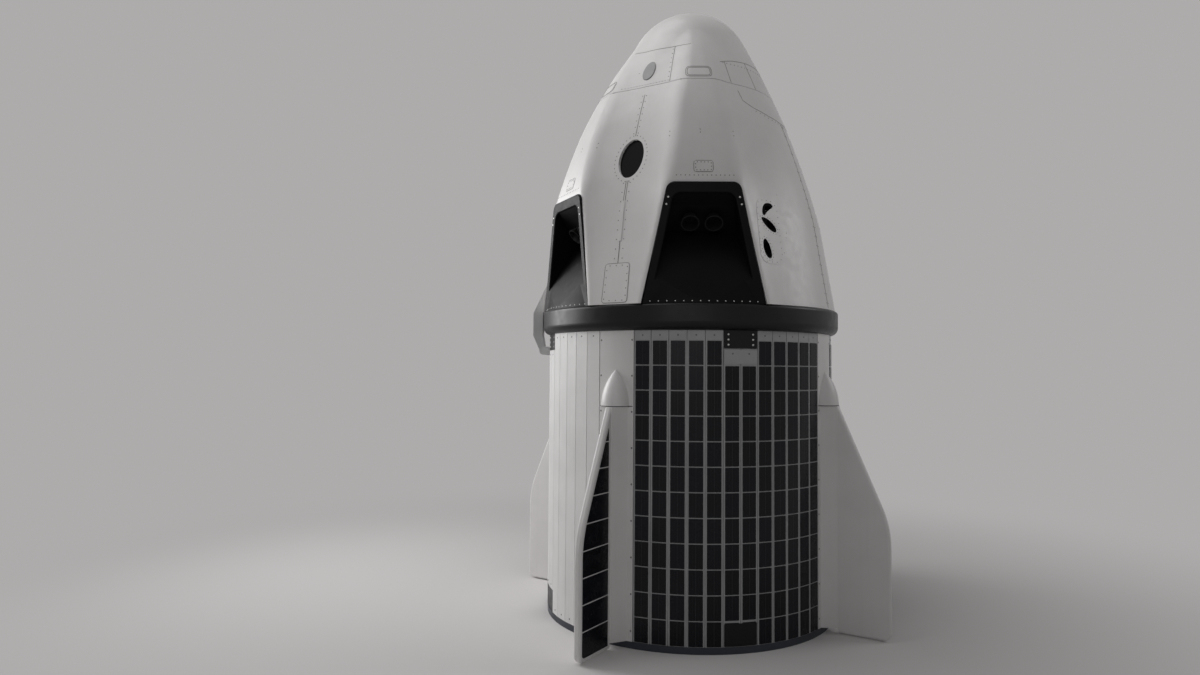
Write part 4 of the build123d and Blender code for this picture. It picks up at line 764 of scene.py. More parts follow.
RIVET = finish("rivet_grey", (0.17, 0.167, 0.165), 0.45, tone=0.2, metallic=0.2)
LIGHT_BOLT = finish("bolt_light", (0.55, 0.55, 0.54), 0.35, tone=0.1, metallic=0.6)
OVAL_GREY = finish("cover_grey", (0.33, 0.33, 0.335), 0.4, tone=0.1)

NODE_FINISHES = [
    # nodes starting with, finish
    ("capsule_wall", WHITE), ("nose_cone", WHITE), ("side_hatch", WHITE), ("fin_cells", FIN_CELL),
    ("fin_", WHITE), ("heat_shield", SHIELD), ("engine_bay", BAY), ("engine_nozzles", NOZZLE),
    ("solar_cells", CELL), ("solar_strips", FRAME_GREY), ("radiator_strips", RADIATOR),
    ("trunk_barrel", TRUNK_WHITE), ("base_ring", DARK_BAND), ("docking_ring", METAL),
    ("capture_ring", METAL), ("forward_bulkhead", TRUNK_WHITE), ("tie_down", SHIELD),
    ("foot_covers", SHIELD), ("cabin_floor", CONSOLE), ("forward_hatch", TRUNK_WHITE),
    ("seat_frame", METAL), ("steering_thrusters", NOZZLE), ("forward_thrusters", NOZZLE),
    ("hatch_hinge", HINGE), ("nose_hinge", HINGE), ("forward_hinge", HINGE), ("window_pane", GLASS),
    ("hatch_window", GLASS), ("crew_seats", SEAT), ("display_console", CONSOLE),
    ("display_screens", SCREEN), ("claw", ARM),
]


def dress_nodes():
    """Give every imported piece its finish."""
    for name, piece in NODES.items():
        for start, material in NODE_FINISHES:
            if name.startswith(start):
                piece.data.materials.clear()
                piece.data.materials.append(material)
                break


# Pieces

SKIN_PIECES = [
    # node, first and last azimuth of its upright cuts
    ("capsule_wall_front_right", 0.0, 90.0), ("capsule_wall_rear_right", 90.0, 180.0),
    ("capsule_wall_rear_left", 180.0, 270.0), ("capsule_wall_front_left", 270.0, 360.0),
    ("side_hatch", 252.0, 288.0), ("nose_cone", 0.0, 180.0),
]


def build_skin():
    """Rounded walls, hatch and nose in place of the sharp ones."""
    made = []
    for node, first, last in SKIN_PIECES:
        made.append(smooth_wall(node, np.arange(first, last, SKIN_TURN_STEP)[1:]))
    return made


SEAM_STRIP = flat_section(0.008, 0.0018)
RAIL = flat_section(0.040, 0.006)
RIVET_SIZE = (0.0065, 0.003)
PANEL_THICK = 0.003
FACE_ENDS = [
    # azimuth of a face with a window, its name
    (0.0, "front"), (180.0, "rear"),
]
WINDOW_HEIGHT = 5.783
WINDOW_RIVET_RING = (0.220, 0.3056)
WINDOW_RIVET_STEP = 0.055
UPPER_SEAM = (SEAM - 0.12, 6.085)
PAIRED_SEAMS = (0.42, 5.49, 5.235)
RAIL_RUN = (5.22, 4.735)
LOWER_SEAM_TOP = 4.73
FACE_RIVETS = [
    # degrees aside, first height, last height, step
    (1.25, SEAM - 0.14, 6.12, 0.085), (1.6, 5.46, 4.52, 0.115),
]
# Panels: half sizes, corners of edge, gap and rivet line, gap outside, inset and step of the rivets
ACCESS_PANEL = ((0.165, 0.232), (0.03, 0.034, 0.02), 0.006, 0.022, 0.085)
ACCESS_PANEL_HEIGHT = DECK + 0.255
ACCESS_PANEL_TOP = ACCESS_PANEL_HEIGHT + ACCESS_PANEL[0][1] + 0.004
POD_PANEL = ((0.108, 0.066), (0.02, 0.024, 0.012), 0.005, 0.016, 0.042)
POD_PANEL_HEIGHT = DECK + 1.613


def riveted_panel(name, sizes, where):
    """Thin panel on the skin; gives the path of the gap round it and the rivets along its edge."""
    halves, corners, gap, inset, step = sizes
    plate(name, [rounded_box(*halves, corners[0])], on_skin_at(*where), PANEL_THICK, WHITE)
    around = rounded_box(halves[0] + gap, halves[1] + gap, corners[1])
    inside = rounded_box(halves[0] - inset, halves[1] - inset, corners[2])
    return skin_loop(around, *where), skin_spots(walk(inside, step), *where, PANEL_THICK)


def build_window_faces():
    """Seams, rail, access panel and rivets on the two faces that carry the windows."""
    fine, dark, rails, rivets = [], [], [], []
    for base, end in FACE_ENDS:
        fine.append(skin_path([(0.0, z) for z in UPPER_SEAM], base))
        for aside in (-PAIRED_SEAMS[0], PAIRED_SEAMS[0]):
            fine.append(skin_path([(aside, z) for z in PAIRED_SEAMS[1:]], base))
        rails.append(skin_path([(0.0, z) for z in RAIL_RUN], base))
        dark.append(skin_path([(0.0, LOWER_SEAM_TOP), (0.0, ACCESS_PANEL_TOP)], base))
        for aside, *run in FACE_RIVETS:
            rivets += row(-aside, spread(*run), base) + row(aside, spread(*run), base)
        ring = walk(oval(*WINDOW_RIVET_RING, 48), WINDOW_RIVET_STEP)
        rivets += skin_spots(ring, 0.0, WINDOW_HEIGHT, base)
        where = (0.0, ACCESS_PANEL_HEIGHT, base, 1.0)
        gap, heads_inside = riveted_panel("access_panel_" + end, ACCESS_PANEL, where)
        fine.append(gap)
        rivets += heads_inside
    sweep("window_face_seams", fine, SEAM_STRIP, SEAM_GREY)
    sweep("window_face_gaps", dark, SEAM_STRIP, SEAM_DARK)
    sweep("window_face_rails", rails, RAIL, WHITE)
    heads("window_face_rivets", rivets, RIVET_SIZE, RIVET)


BAY_LEAN = (POD_HALF_WIDTHS[0] - POD_HALF_WIDTHS[1]) / (POD_LEVELS[1] - POD_LEVELS[0])
BAY_EDGE_GAP = 0.020
BAY_BOLTS = [
    # height over the deck, inset from the bay's edge
    (1.235, 0.048), (1.150, 0.044),
]
BAY_BOLT_SIZE = (0.013, 0.006)
# Row of bolts at the foot of a bay: half length, step, height over the deck
BAY_FOOT = (0.62, 0.095, 0.024)
BAY_FOOT_BOLT_SIZE = (0.008, 0.004)
BAY_RIVETS = (POD_AZIMUTH - 10.0, POD_AZIMUTH + 11.0, 1.6)
BAY_RIVETS_HEIGHT = DECK + 1.500
POD_RIVET_PAIRS = [
    # azimuth, heights of the two rivets
    (POD_AZIMUTH - 0.8, (6.060, 6.020)), (18.4, (6.051, 5.991)), (POD_AZIMUTH + 13.5, (6.051, 5.991)),
]


def quarter_name(base, sense):
    return f"{base:.0f}_{'right' if sense > 0 else 'left'}"


def build_pod_details():
    """Small panel, rivets and marks above each engine bay, and the bolts on its dark frame."""
    rivets, seams, bolts, foot = [], [], [], []
    for base, sense in QUARTERS:
        where = (POD_AZIMUTH, POD_PANEL_HEIGHT, base, sense)
        gap, heads_inside = riveted_panel("pod_panel_" + quarter_name(base, sense), POD_PANEL, where)
        seams.append(gap)
        rivets += heads_inside
        rivets += row(spread(*BAY_RIVETS), BAY_RIVETS_HEIGHT, base, sense)
        for azimuth, heights in POD_RIVET_PAIRS:
            rivets += row(azimuth, heights, base, sense)
        pod = base + sense * POD_AZIMUTH
        tree = surface_of(*nodes_facing("engine_bay", pod))
        for height, inset in BAY_BOLTS:
            half = POD_HALF_WIDTHS[0] - BAY_EDGE_GAP - height * BAY_LEAN - inset
            bolts += [seen_from_outside(tree, pod, side * half, DECK + height) for side in (-1, 1)]
        reach, step, height = BAY_FOOT
        foot += [seen_from_outside(tree, pod, aside, DECK + height) for aside in spread(-reach, reach, step)]
    sweep("pod_panel_gaps", seams, SEAM_STRIP, SEAM_GREY)
    heads("pod_rivets", rivets, RIVET_SIZE, RIVET)
    heads("bay_bolts", bolts, BAY_BOLT_SIZE, LIGHT_BOLT)
    heads("bay_foot_bolts", foot, BAY_FOOT_BOLT_SIZE, LIGHT_BOLT)


FACING = 0.95


def nodes_facing(start, azimuth):
    """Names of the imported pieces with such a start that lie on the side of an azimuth."""
    found = []
    for name in NODES:
        if name.startswith(start):
            low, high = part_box(name)
            middle = (low + high) / 2
            if Vector((middle.x, middle.y, 0)).normalized().dot(outward(azimuth)) > FACING:
                found.append(name)
    return found


PORT_PLATE = (0.175, 0.395, 0.12)
PORT_PLATE_MIDDLE = (-0.005, -0.025)
PORT_PLATE_LIFT = 0.004
# Depth of the port wells that get the painted shade
PORT_SHADE_BLACK_DEPTH = 0.118
PORT_LEAVES = [
    # upper end and lower end from the middle of the drawing, width, bend, sharpness of both ends
    ((0.096, 0.302), (-0.086, 0.168), 0.094, -0.034, (0.40, 0.40)),
    ((-0.116, 0.128), (0.108, -0.022), 0.104, 0.004, (0.60, 0.48)),
    ((-0.096, -0.126), (-0.034, -0.358), 0.114, -0.004, (0.50, 0.44)),
]
LEAF_STEPS = 14
PORT_RIVET_SIZE = (0.005, 0.0025)
PORT_PLATE_STEP = 0.02
# Rivets along the plate's edge and round the leaves: distance outside the outline, step
PORT_EDGE_RIVETS = (-0.020, 0.075)
PORT_LEAF_RIVETS = (0.024, 0.042)
PORT_LONE_RIVETS = ([66.9, 66.5, 64.5, 65.0], [4.848, 4.789, 4.600, 5.320])
PORT_SHADE_BLACK_INSET = 0.004


def leaf(tip, end, width, bend, sharp):
    """Outline of a bent leaf, with its own sharpness at each end."""
    tip, end = Vector(tip), Vector(end)
    aside = Vector((tip.y - end.y, end.x - tip.x)).normalized()
    shares = [0.5 - 0.5 * math.cos(math.pi * index / LEAF_STEPS) for index in range(LEAF_STEPS + 1)]
    middles = [tip.lerp(end, share) + aside * bend * math.sin(math.pi * share) for share in shares]
    widest = sharp[0] / sum(sharp)
    full = widest ** sharp[0] * (1 - widest) ** sharp[1]
    halves = [width / 2 * share ** sharp[0] * (1 - share) ** sharp[1] / full for share in shares]
    one = [middle + aside * half for middle, half in zip(middles, halves)]
    other = [middle - aside * half for middle, half in zip(middles, halves)]
    return [tuple(spot) for spot in one[:-1] + middles[-1:] + other[-2:0:-1]]


def grown(outline, distance):
    """Outline moved out from its own middle by a distance."""
    middle = sum((Vector(spot) for spot in outline), Vector((0, 0))) / len(outline)
    return [tuple(Vector(spot) + (Vector(spot) - middle).normalized() * distance) for spot in outline]


def build_ports():
    """Mouths of the steering thrusters: a plate with three leaf-shaped openings over wells painted black as
    painted shade.
    """
    leaves = [leaf(*sizes) for sizes in PORT_LEAVES]
    edge = [tuple(Vector(spot) + Vector(PORT_PLATE_MIDDLE)) for spot in rounded_box(*PORT_PLATE)]
    rivets, drawing = [], []
    for outline, (off, step) in zip([edge] + leaves[1:], [PORT_EDGE_RIVETS] + [PORT_LEAF_RIVETS] * 2):
        drawing += walk(grown(outline, off), step)
    for base, sense in QUARTERS:
        where = (PORT_AZIMUTH, PORT_HEIGHT, base, sense)
        plate("port_plate_" + quarter_name(base, sense), [edge] + leaves, on_skin_at(*where), PORT_PLATE_LIFT,
              WHITE, PORT_PLATE_STEP)
        rivets += skin_spots(drawing, *where, PORT_PLATE_LIFT)
        rivets += row(*PORT_LONE_RIVETS, base, sense)
    heads("port_rivets", rivets, PORT_RIVET_SIZE, RIVET)


def paint_port_shade(pieces):
    """Paint the skin under the port plates and the port wells black, as painted shade for the depth of the
    openings.
    """
    half_width, half_tall, corner = PORT_PLATE
    for piece in pieces:
        mesh = piece.data
        mesh.materials.append(PORT_SHADE_BLACK)
        spots = np.array([vertex.co for vertex in mesh.vertices])
        turns = np.degrees(np.arctan2(spots[:, 0], -spots[:, 1])) % 360
        folded = 90 - np.abs(90 - turns % 180)
        x = np.radians(folded - PORT_AZIMUTH) * skin_reach(PORT_AZIMUTH, PORT_HEIGHT)
        aside = np.abs(x - PORT_PLATE_MIDDLE[0])
        along = np.abs(spots[:, 2] - PORT_HEIGHT - PORT_PLATE_MIDDLE[1])
        depth = skin_radius(turns, spots[:, 2]) - np.hypot(spots[:, 0], spots[:, 1])
        off = np.hypot(np.maximum(aside - half_width + corner, 0), np.maximum(along - half_tall + corner, 0))
        inside = (off < corner - PORT_SHADE_BLACK_INSET) & (depth < PORT_SHADE_BLACK_DEPTH)
        for polygon in mesh.polygons:
            if inside[list(polygon.vertices)].all():
                polygon.material_index = 1


NOSE_FACE_SEAM = [(-25.0, 7.405), (-12.0, 7.375), (0.0, 7.365), (12.0, 7.360), (28.0, 7.365)]
NOSE_SIDE_SEAM = [(48.0, 7.105), (54.0, 7.140), (60.0, 7.165), (73.0, 7.190), (90.0, 7.196)]
NOSE_LOW_END = SEAM + 0.012
NOSE_UPRIGHTS = [
    # azimuth, upper end
    (52.0, 7.125), (73.0, 7.188),
]
NOSE_UPRIGHT_LEAN = 0.6
NOSE_FACE_UPRIGHT = [(15.2, 7.355), (15.1, NOSE_LOW_END)]
NOSE_HINGE_TURN = 11.0
NOSE_FOOT_RIVETS = spread(-18.0, 14.0, 2.0)
NOSE_FOOT_HEIGHT = SEAM + 0.034
NOSE_UPRIGHT_RIVETS = (13.9, spread(SEAM + 0.09, 7.32, 0.07))
NOSE_SIDE_RIVETS = (spread(50.5, 88.0, 3.4), 7.105)
NOSE_LONE_RIVET = (-10.0, 7.028)
NOSE_OVAL = (-1.9, 7.033)
NOSE_OVAL_HALVES = (0.080, 0.132)
NOSE_OVAL_THICK = 0.008
NOSE_OVAL_STEP = 0.025
NOSE_OVAL_GAP = 0.006
POD_END_HEIGHT = SEAM + 0.112
POD_END_BOXES = [
    # half width, half height, corner
    (0.160, 0.078, 0.045), (0.142, 0.061, 0.032),
]


def build_nose_details():
    """Seams, rivets and the grey oval cover on the nose, and the marks at the pods' upper ends."""
    seams, rivets, rings = [], [], []
    for base, end in FACE_ENDS:
        seams.append(skin_path(NOSE_FACE_SEAM, base))
        seams.append(skin_path(NOSE_FACE_UPRIGHT, base))
        clear = [turn for turn in NOSE_FOOT_RIVETS if end == "front" or abs(turn) > NOSE_HINGE_TURN]
        rivets += row(clear, NOSE_FOOT_HEIGHT, base) + row(*NOSE_UPRIGHT_RIVETS, base)
    cover, around = (oval(*(half + gap for half in NOSE_OVAL_HALVES), 40) for gap in (0.0, NOSE_OVAL_GAP))
    plate("nose_oval_cover", [cover], on_skin_at(*NOSE_OVAL), NOSE_OVAL_THICK, OVAL_GREY, NOSE_OVAL_STEP,
          "nose")
    rings.append(skin_loop(around, *NOSE_OVAL))
    rivets += row(*NOSE_LONE_RIVET)
    for base, sense in QUARTERS:
        for box in POD_END_BOXES:
            rings.append(skin_loop(rounded_box(*box), POD_AZIMUTH, POD_END_HEIGHT, base, sense))
        seams.append(skin_path(NOSE_SIDE_SEAM, base, sense))
        for azimuth, top in NOSE_UPRIGHTS:
            foot = (azimuth + NOSE_UPRIGHT_LEAN, NOSE_LOW_END)
            seams.append(skin_path([(azimuth, top), foot], base, sense))
        rivets += row(*NOSE_SIDE_RIVETS, base, sense)
    sweep("nose_seams", seams, SEAM_STRIP, SEAM_GREY, "nose")
    sweep("nose_rings", rings, SEAM_STRIP, SEAM_GREY, "nose")
    heads("nose_rivets", rivets, RIVET_SIZE, RIVET, "nose")


COVER_EDGE = [(56.0, 6.700), (57.5, 6.560), (64.0, 6.490), (77.0, 6.428), (90.0, 6.405)]
COVER_POST = [COVER_EDGE[-1], (90.0, DECK + 0.02)]
COVER_POST_RIVETS = (88.9, spread(6.35, DECK + 0.08, 0.12))
COVER_RIVETS = spread(66.0, 88.5, 3.2)
COVER_RIVET_LINE = ((64.0, 77.0, 90.0), (6.455, 6.393, 6.370))
HATCH_MIDDLE = DECK + 1.210
HATCH_HALVES = (0.510, 0.580)
HATCH_CORNER = 0.240
HATCH_LEAN = 0.966
HATCH_HINGE_SPREAD = 0.260
HATCH_ARM_ROOM = 0.16
HATCH_RIVETS_OFF = 0.055
HATCH_CORNER_OFF = 0.05
HATCH_RIVET_STEP = 0.095
HATCH_WINDOW_RISE = 0.184
HATCH_WINDOW_RIVETS = (0.145, 0.142)
HATCH_WINDOW_RIVET_STEP = 0.045
HATCH_WINDOW_RIM = (0.122, 0.119, 40)
HATCH_RIM = flat_section(0.026, 0.005)
GRIP_ASIDE = 0.330
GRIP_RUN = [
    # height along the hatch, distance of the bar from the skin
    (-0.16, -0.004), (-0.15, 0.028), (-0.13, 0.036), (0.03, 0.036), (0.05, 0.028), (0.06, -0.004),
]
GRIP_RADIUS = 0.011
GRIP_TURN = math.degrees(GRIP_ASIDE / 1.73)
GRIP_PLATE = (0.055, 0.165, 0.04)
GRIP_PLATE_DROP = 0.05


def build_side_details():
    """Outline of the parachute cover, and the rivets, window rim and handle of the side hatch."""
    seams, rivets, on_hatch = [], [], []
    for base, sense in QUARTERS[:1] + QUARTERS[3:]:
        seams += [skin_path(stops, base, sense) for stops in (COVER_EDGE, COVER_POST)]
        rivets += row(COVER_RIVETS, np.interp(COVER_RIVETS, *COVER_RIVET_LINE), base, sense)
        rivets += row(*COVER_POST_RIVETS, base, sense)
    for side, kept in ((1, rivets), (-1, on_hatch)):
        half_width, half_tall = (half + side * HATCH_RIVETS_OFF for half in HATCH_HALVES)
        outline = rounded_box(half_width, half_tall * HATCH_LEAN, HATCH_CORNER + side * HATCH_CORNER_OFF)
        for x, y in walk(outline, HATCH_RIVET_STEP):
            by_arm = x < 0 and abs(abs(y) - HATCH_HINGE_SPREAD * HATCH_LEAN) < HATCH_ARM_ROOM
            if not by_arm:
                kept += skin_spots([(x, y)], HATCH_SIDE, HATCH_MIDDLE)
    round_window = walk(oval(*HATCH_WINDOW_RIVETS), HATCH_WINDOW_RIVET_STEP)
    round_window = [(x, y + HATCH_WINDOW_RISE) for x, y in round_window]
    on_hatch += skin_spots(round_window, HATCH_SIDE, HATCH_MIDDLE)
    rim = [(x, y + HATCH_WINDOW_RISE) for x, y in oval(*HATCH_WINDOW_RIM)]
    sweep("hatch_window_rim", [skin_loop(rim, HATCH_SIDE, HATCH_MIDDLE)], HATCH_RIM, HINGE, "side_hatch")
    grip = skin_spots([(GRIP_ASIDE, y) for y, lift in GRIP_RUN], HATCH_SIDE, HATCH_MIDDLE)
    bar = [Vector(place) + Vector(normal) * lift for (place, normal), (y, lift) in zip(grip, GRIP_RUN)]
    path = (bar, [normal for place, normal in grip])
    sweep("hatch_handle", [path], round_section(GRIP_RADIUS), HINGE, "side_hatch")
    behind_grip = on_skin_at(HATCH_SIDE + GRIP_TURN, HATCH_MIDDLE - GRIP_PLATE_DROP)
    plate("hatch_handle_plate", [rounded_box(*GRIP_PLATE)], behind_grip, PANEL_THICK, OVAL_GREY,
          body="side_hatch")
    sweep("parachute_cover_seams", seams, SEAM_STRIP, SEAM_GREY)
    heads("side_rivets", rivets, RIVET_SIZE, RIVET)
    heads("hatch_rivets", on_hatch, RIVET_SIZE, RIVET, "side_hatch")


NOTCH_BOTTOM = TRUNK_TOP - 0.213
NOTCH_PLATE = (0.202, 0.080, 0.010)
NOTCH_PLATE_DROP = 0.092
NOTCH_PLATE_THICK = 0.009
NOTCH_PLATE_STEP = 0.101
NOTCH_PLATE_SCREWS = (0.100, 0.038)
# Bolts in a notch: distance aside, drops below the trunk's rim
NOTCH_BOLTS = (0.150, (0.045, 0.105, 0.165))
NOTCH_BOLT_SIZE = (0.013, 0.007)
FOOT_COVER_TOP = 0.349
FOOT_PLATE = (0.196, (FOOT_COVER_TOP - RING_TOP) / 2 - 0.008, 0.008)
FOOT_PLATE_THICK = 0.0095
FOOT_PLATE_STEP = 0.098
CELL_PROUD = 0.008
SCREW_SIZE = (0.011, 0.003)
STRIP_SCREW_INSET = 0.056
NOTCHED_SCREW_RISE = 0.330
FIN_TOP = TRUNK_TOP - 0.891
# Seam over a fin: half length, step, height over the fin
FAIRING_SEAM = (0.222, 0.012, 0.006)
FAIRING_SEAM_STRIP = flat_section(0.010, 0.0020)
# Screws along a fairing: distance aside, lowest height, highest height, step
FAIRING_SCREWS = (0.212, 0.20, 3.55, 0.42)


def build_trunk_details():
    """Screw heads on the strips, bolts in the notches, plates under them and seams over the fins."""
    dots, bolts, seams = [], [], []
    strips = surface_of(*[name for name in NODES if "strips_" in name])
    fittings = surface_of("tie_down_fittings")
    for quadrant in range(4):
        solar = quadrant < 2
        for index in range(STRIPS_PER_QUADRANT):
            azimuth = 90.0 * quadrant + QUADRANT_MARGIN + (index + 0.5) * STRIP_PITCH
            notched = index in (STRIPS_PER_QUADRANT // 2 - 1, STRIPS_PER_QUADRANT // 2)
            if notched and solar:
                continue
            top = NOTCH_BOTTOM if notched else TRUNK_TOP
            dots.append(seen_from_outside(strips, azimuth, 0.0, top - STRIP_SCREW_INSET))
            if not solar:
                rise = NOTCHED_SCREW_RISE if notched else STRIP_SCREW_INSET
                dots.append(seen_from_outside(strips, azimuth, 0.0, RING_TOP + rise))
        middle = 90.0 * quadrant + 45.0
        aside, drops = NOTCH_BOLTS
        for drop in drops:
            bolts += [seen_from_outside(fittings, middle, side * aside, TRUNK_TOP - drop) for side in (-1, 1)]
        if solar:
            end = ("front", "rear")[quadrant]
            place = on_strips_at(middle, NOTCH_BOTTOM - NOTCH_PLATE_DROP)
            plate("notch_plate_" + end, [rounded_box(*NOTCH_PLATE)], place, NOTCH_PLATE_THICK, FRAME_GREY,
                  NOTCH_PLATE_STEP)
            low = on_strips_at(middle, (RING_TOP + FOOT_COVER_TOP) / 2)
            plate("foot_plate_" + end, [rounded_box(*FOOT_PLATE)], low, FOOT_PLATE_THICK, SHIELD,
                  FOOT_PLATE_STEP)
            for aside in (-NOTCH_PLATE_SCREWS[0], NOTCH_PLATE_SCREWS[0]):
                spot = place(*np.array([[aside], [NOTCH_PLATE_SCREWS[1]], [NOTCH_PLATE_THICK]]))[0]
                dots.append((Vector(spot), outward(middle + math.degrees(aside / STRIP_FACE))))
        fin = 90.0 * quadrant
        fairing = surface_of(*nodes_facing("fin_fairing", fin))
        half, step, rise = FAIRING_SEAM
        asides = spread(-half, half, step)
        spots = [seen_from_outside(fairing, fin, aside, FIN_TOP + rise) for aside in asides]
        seams.append(tuple(zip(*filter(None, spots))))
        half, *run = FAIRING_SCREWS
        for aside in (-half, half):
            dots += [seen_from_outside(fairing, fin, aside, z) for z in spread(*run)]
    heads("strip_screws", dots, SCREW_SIZE, RIVET)
    heads("notch_bolts", bolts, NOTCH_BOLT_SIZE, LIGHT_BOLT)
    sweep("fairing_seams", seams, FAIRING_SEAM_STRIP, SEAM_DARK)


def on_strips_at(azimuth, height):
    """Rule that bends a flat drawing over the two flat strips that meet at an azimuth."""
    def place(x, y, lift):
        turns = np.degrees(x / STRIP_FACE)
        off_strip = np.radians(np.abs(turns) - STRIP_PITCH / 2)
        radius = (STRIP_FACE - CELL_PROUD + lift) / np.cos(off_strip)
        angle = np.radians(azimuth + turns)
        return np.stack([radius * np.sin(angle), -radius * np.cos(angle), height + y], axis=-1)

    return place


DOCK_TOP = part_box("docking_ring")[1].z
BULKHEAD_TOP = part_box("forward_bulkhead")[1].z
FORWARD_HATCH_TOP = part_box("forward_hatch")[1].z
# Level circles of bolts and points: radius, height, count, azimuth of the first
DOCK_BOLTS = (0.638, DOCK_TOP, 36)
BULKHEAD_BOLTS = (0.945, BULKHEAD_TOP, 48, 3.75)
INNER_BOLTS = (0.375, FORWARD_HATCH_TOP, 24, 7.5)
SEALS = [(0.425, DOCK_TOP, 72), (0.452, DOCK_TOP, 72)]
DOCK_BOLT_SIZE = (0.011, 0.008)
INNER_BOLT_SIZE = (0.009, 0.005)
SEAL = flat_section(0.014, 0.006)
WHEEL_POINTS = 40
WHEEL_SPOKES = (90.0, 210.0, 330.0)
WHEEL_RADIUS = 0.150
WHEEL_HEIGHT = FORWARD_HATCH_TOP + 0.046
WHEEL_BAR = 0.011
WHEEL_SPOKE = [
    # distance from the axis, height
    (0.0, FORWARD_HATCH_TOP + 0.020), (0.05, FORWARD_HATCH_TOP + 0.036), (WHEEL_RADIUS, WHEEL_HEIGHT),
]


def ring_spots(radius, height, count, start=0.0):
    """Points on a level circle, facing up."""
    turns = [start + 360.0 * index / count for index in range(count)]
    return [(outward(turn) * radius + Vector((0, 0, height)), Vector((0, 0, 1))) for turn in turns]


def build_docking_details():
    """Bolts and seals of the docking gear under the nose, and the inner hatch's wheel."""
    heads("docking_bolts", ring_spots(*DOCK_BOLTS) + ring_spots(*BULKHEAD_BOLTS), DOCK_BOLT_SIZE, HINGE)
    sweep("docking_seals", [closed_path(ring_spots(*circle)) for circle in SEALS], SEAL, CONSOLE)
    wheel = [closed_path(ring_spots(WHEEL_RADIUS, WHEEL_HEIGHT, WHEEL_POINTS))]
    for turn in WHEEL_SPOKES:
        spoke = [outward(turn) * reach + Vector((0, 0, z)) for reach, z in WHEEL_SPOKE]
        wheel.append((spoke, [Vector((0, 0, 1))] * len(spoke)))
    sweep("inner_hatch_wheel", wheel, round_section(WHEEL_BAR), HINGE, "forward_hatch")
    heads("inner_hatch_bolts", ring_spots(*INNER_BOLTS), INNER_BOLT_SIZE, HINGE, "forward_hatch")


SEAT_ROW = (-0.72, -0.24, 0.24, 0.72)
SEAT_HIP = (0.250, 4.570)
SEAT_PAN_ANGLE = 158.0
SEAT_RUNS = [
    # name, direction from the hip or knee, start along it, length, width, depth, from the knee
    ("back", 62.0, 0.125, 0.500, 0.380, 0.080, False),
    ("head", 62.0, 0.645, 0.150, 0.300, 0.075, False),
    ("pan", SEAT_PAN_ANGLE, 0.125, 0.290, 0.380, 0.075, False),
    ("leg", 233.0, 0.060, 0.290, 0.360, 0.060, True),
]
SEAT_PAN_LENGTH = 0.420
SEAT_HALF_SHELL = 0.0305
PAD_ROWS = 26
PAD_COLUMNS = 18
PAD_CHANNELS = (-0.36, 0.36)
PAD_PULL = 0.035
PAD_ROUND = 3.2
PAD_CHANNEL_WIDTH = 0.045
# Shares of a pad's depth: at its edge, what the crown adds, what a channel takes
PAD_SHARES = (0.38, 0.62, 0.17)
PAD_FOOT = 0.985
PAD_SMOOTH = 50.0


def pad_mesh(name, length, width, depth):
    """Crowned pad with a flat base and sewn channels, its sides pulled in between the corners."""
    points, faces = [], []

    def outline(u, v):
        return (u * length / 2 * (1 - PAD_PULL * (1 - v * v)), v * width / 2 * (1 - PAD_PULL * (1 - u * u)))

    for i in range(PAD_ROWS + 1):
        for j in range(PAD_COLUMNS + 1):
            u = -math.cos(math.pi * i / PAD_ROWS)
            v = -math.cos(math.pi * j / PAD_COLUMNS)
            crown = math.sqrt(max(1 - abs(u) ** PAD_ROUND, 0)) * math.sqrt(max(1 - abs(v) ** PAD_ROUND, 0))
            groove = sum(math.exp(-((u - at) / PAD_CHANNEL_WIDTH) ** 2) for at in PAD_CHANNELS) * crown
            x, y = outline(u, v)
            edge, swell, sunk = PAD_SHARES
            points.append((x, y, depth * (edge + swell * crown - sunk * groove)))
    side = PAD_COLUMNS + 1
    for i in range(PAD_ROWS):
        for j in range(PAD_COLUMNS):
            a = i * side + j
            faces.append((a, a + 1, a + side + 1, a + side))
    border = list(range(side)) + [i * side + side - 1 for i in range(1, PAD_ROWS + 1)]
    border += [PAD_ROWS * side + j for j in reversed(range(side - 1))]
    border += [i * side for i in reversed(range(1, PAD_ROWS))]
    start = len(points)
    points += [(points[index][0] * PAD_FOOT, points[index][1] * PAD_FOOT, 0.0) for index in border]
    count = len(border)
    for k in range(count):
        faces.append((border[k], border[(k + 1) % count], start + (k + 1) % count, start + k))
    faces.append(tuple(start + k for k in range(count)))
    return from_lists(name, points, faces, PAD_SMOOTH)


def seat_direction(angle):
    return Vector((math.cos(math.radians(angle)), 0.0, math.sin(math.radians(angle))))


def build_seat_pads():
    """Cloth pads on the four reclined seats."""
    hip = Vector((SEAT_HIP[0], 0.0, SEAT_HIP[1]))
    for index, aside in enumerate(SEAT_ROW):
        for name, angle, start, length, width, depth, from_knee in SEAT_RUNS:
            along = seat_direction(angle)
            foot = hip + seat_direction(SEAT_PAN_ANGLE) * SEAT_PAN_LENGTH if from_knee else hip
            up = Vector((along.z, 0.0, -along.x))
            if name in ("back", "head"):
                up = -up
            middle = foot + along * (start + length / 2) + up * SEAT_HALF_SHELL + Vector((0.0, aside, 0.0))
            across = up.cross(along)
            mesh = pad_mesh(f"seat_pad_{name}_{index}", length, width, depth)
            mesh.transform(Matrix.Translation(middle) @ Matrix((along, across, up)).transposed().to_4x4())
            pad = link(f"seat_pad_{name}_{index}", mesh, SEAT)


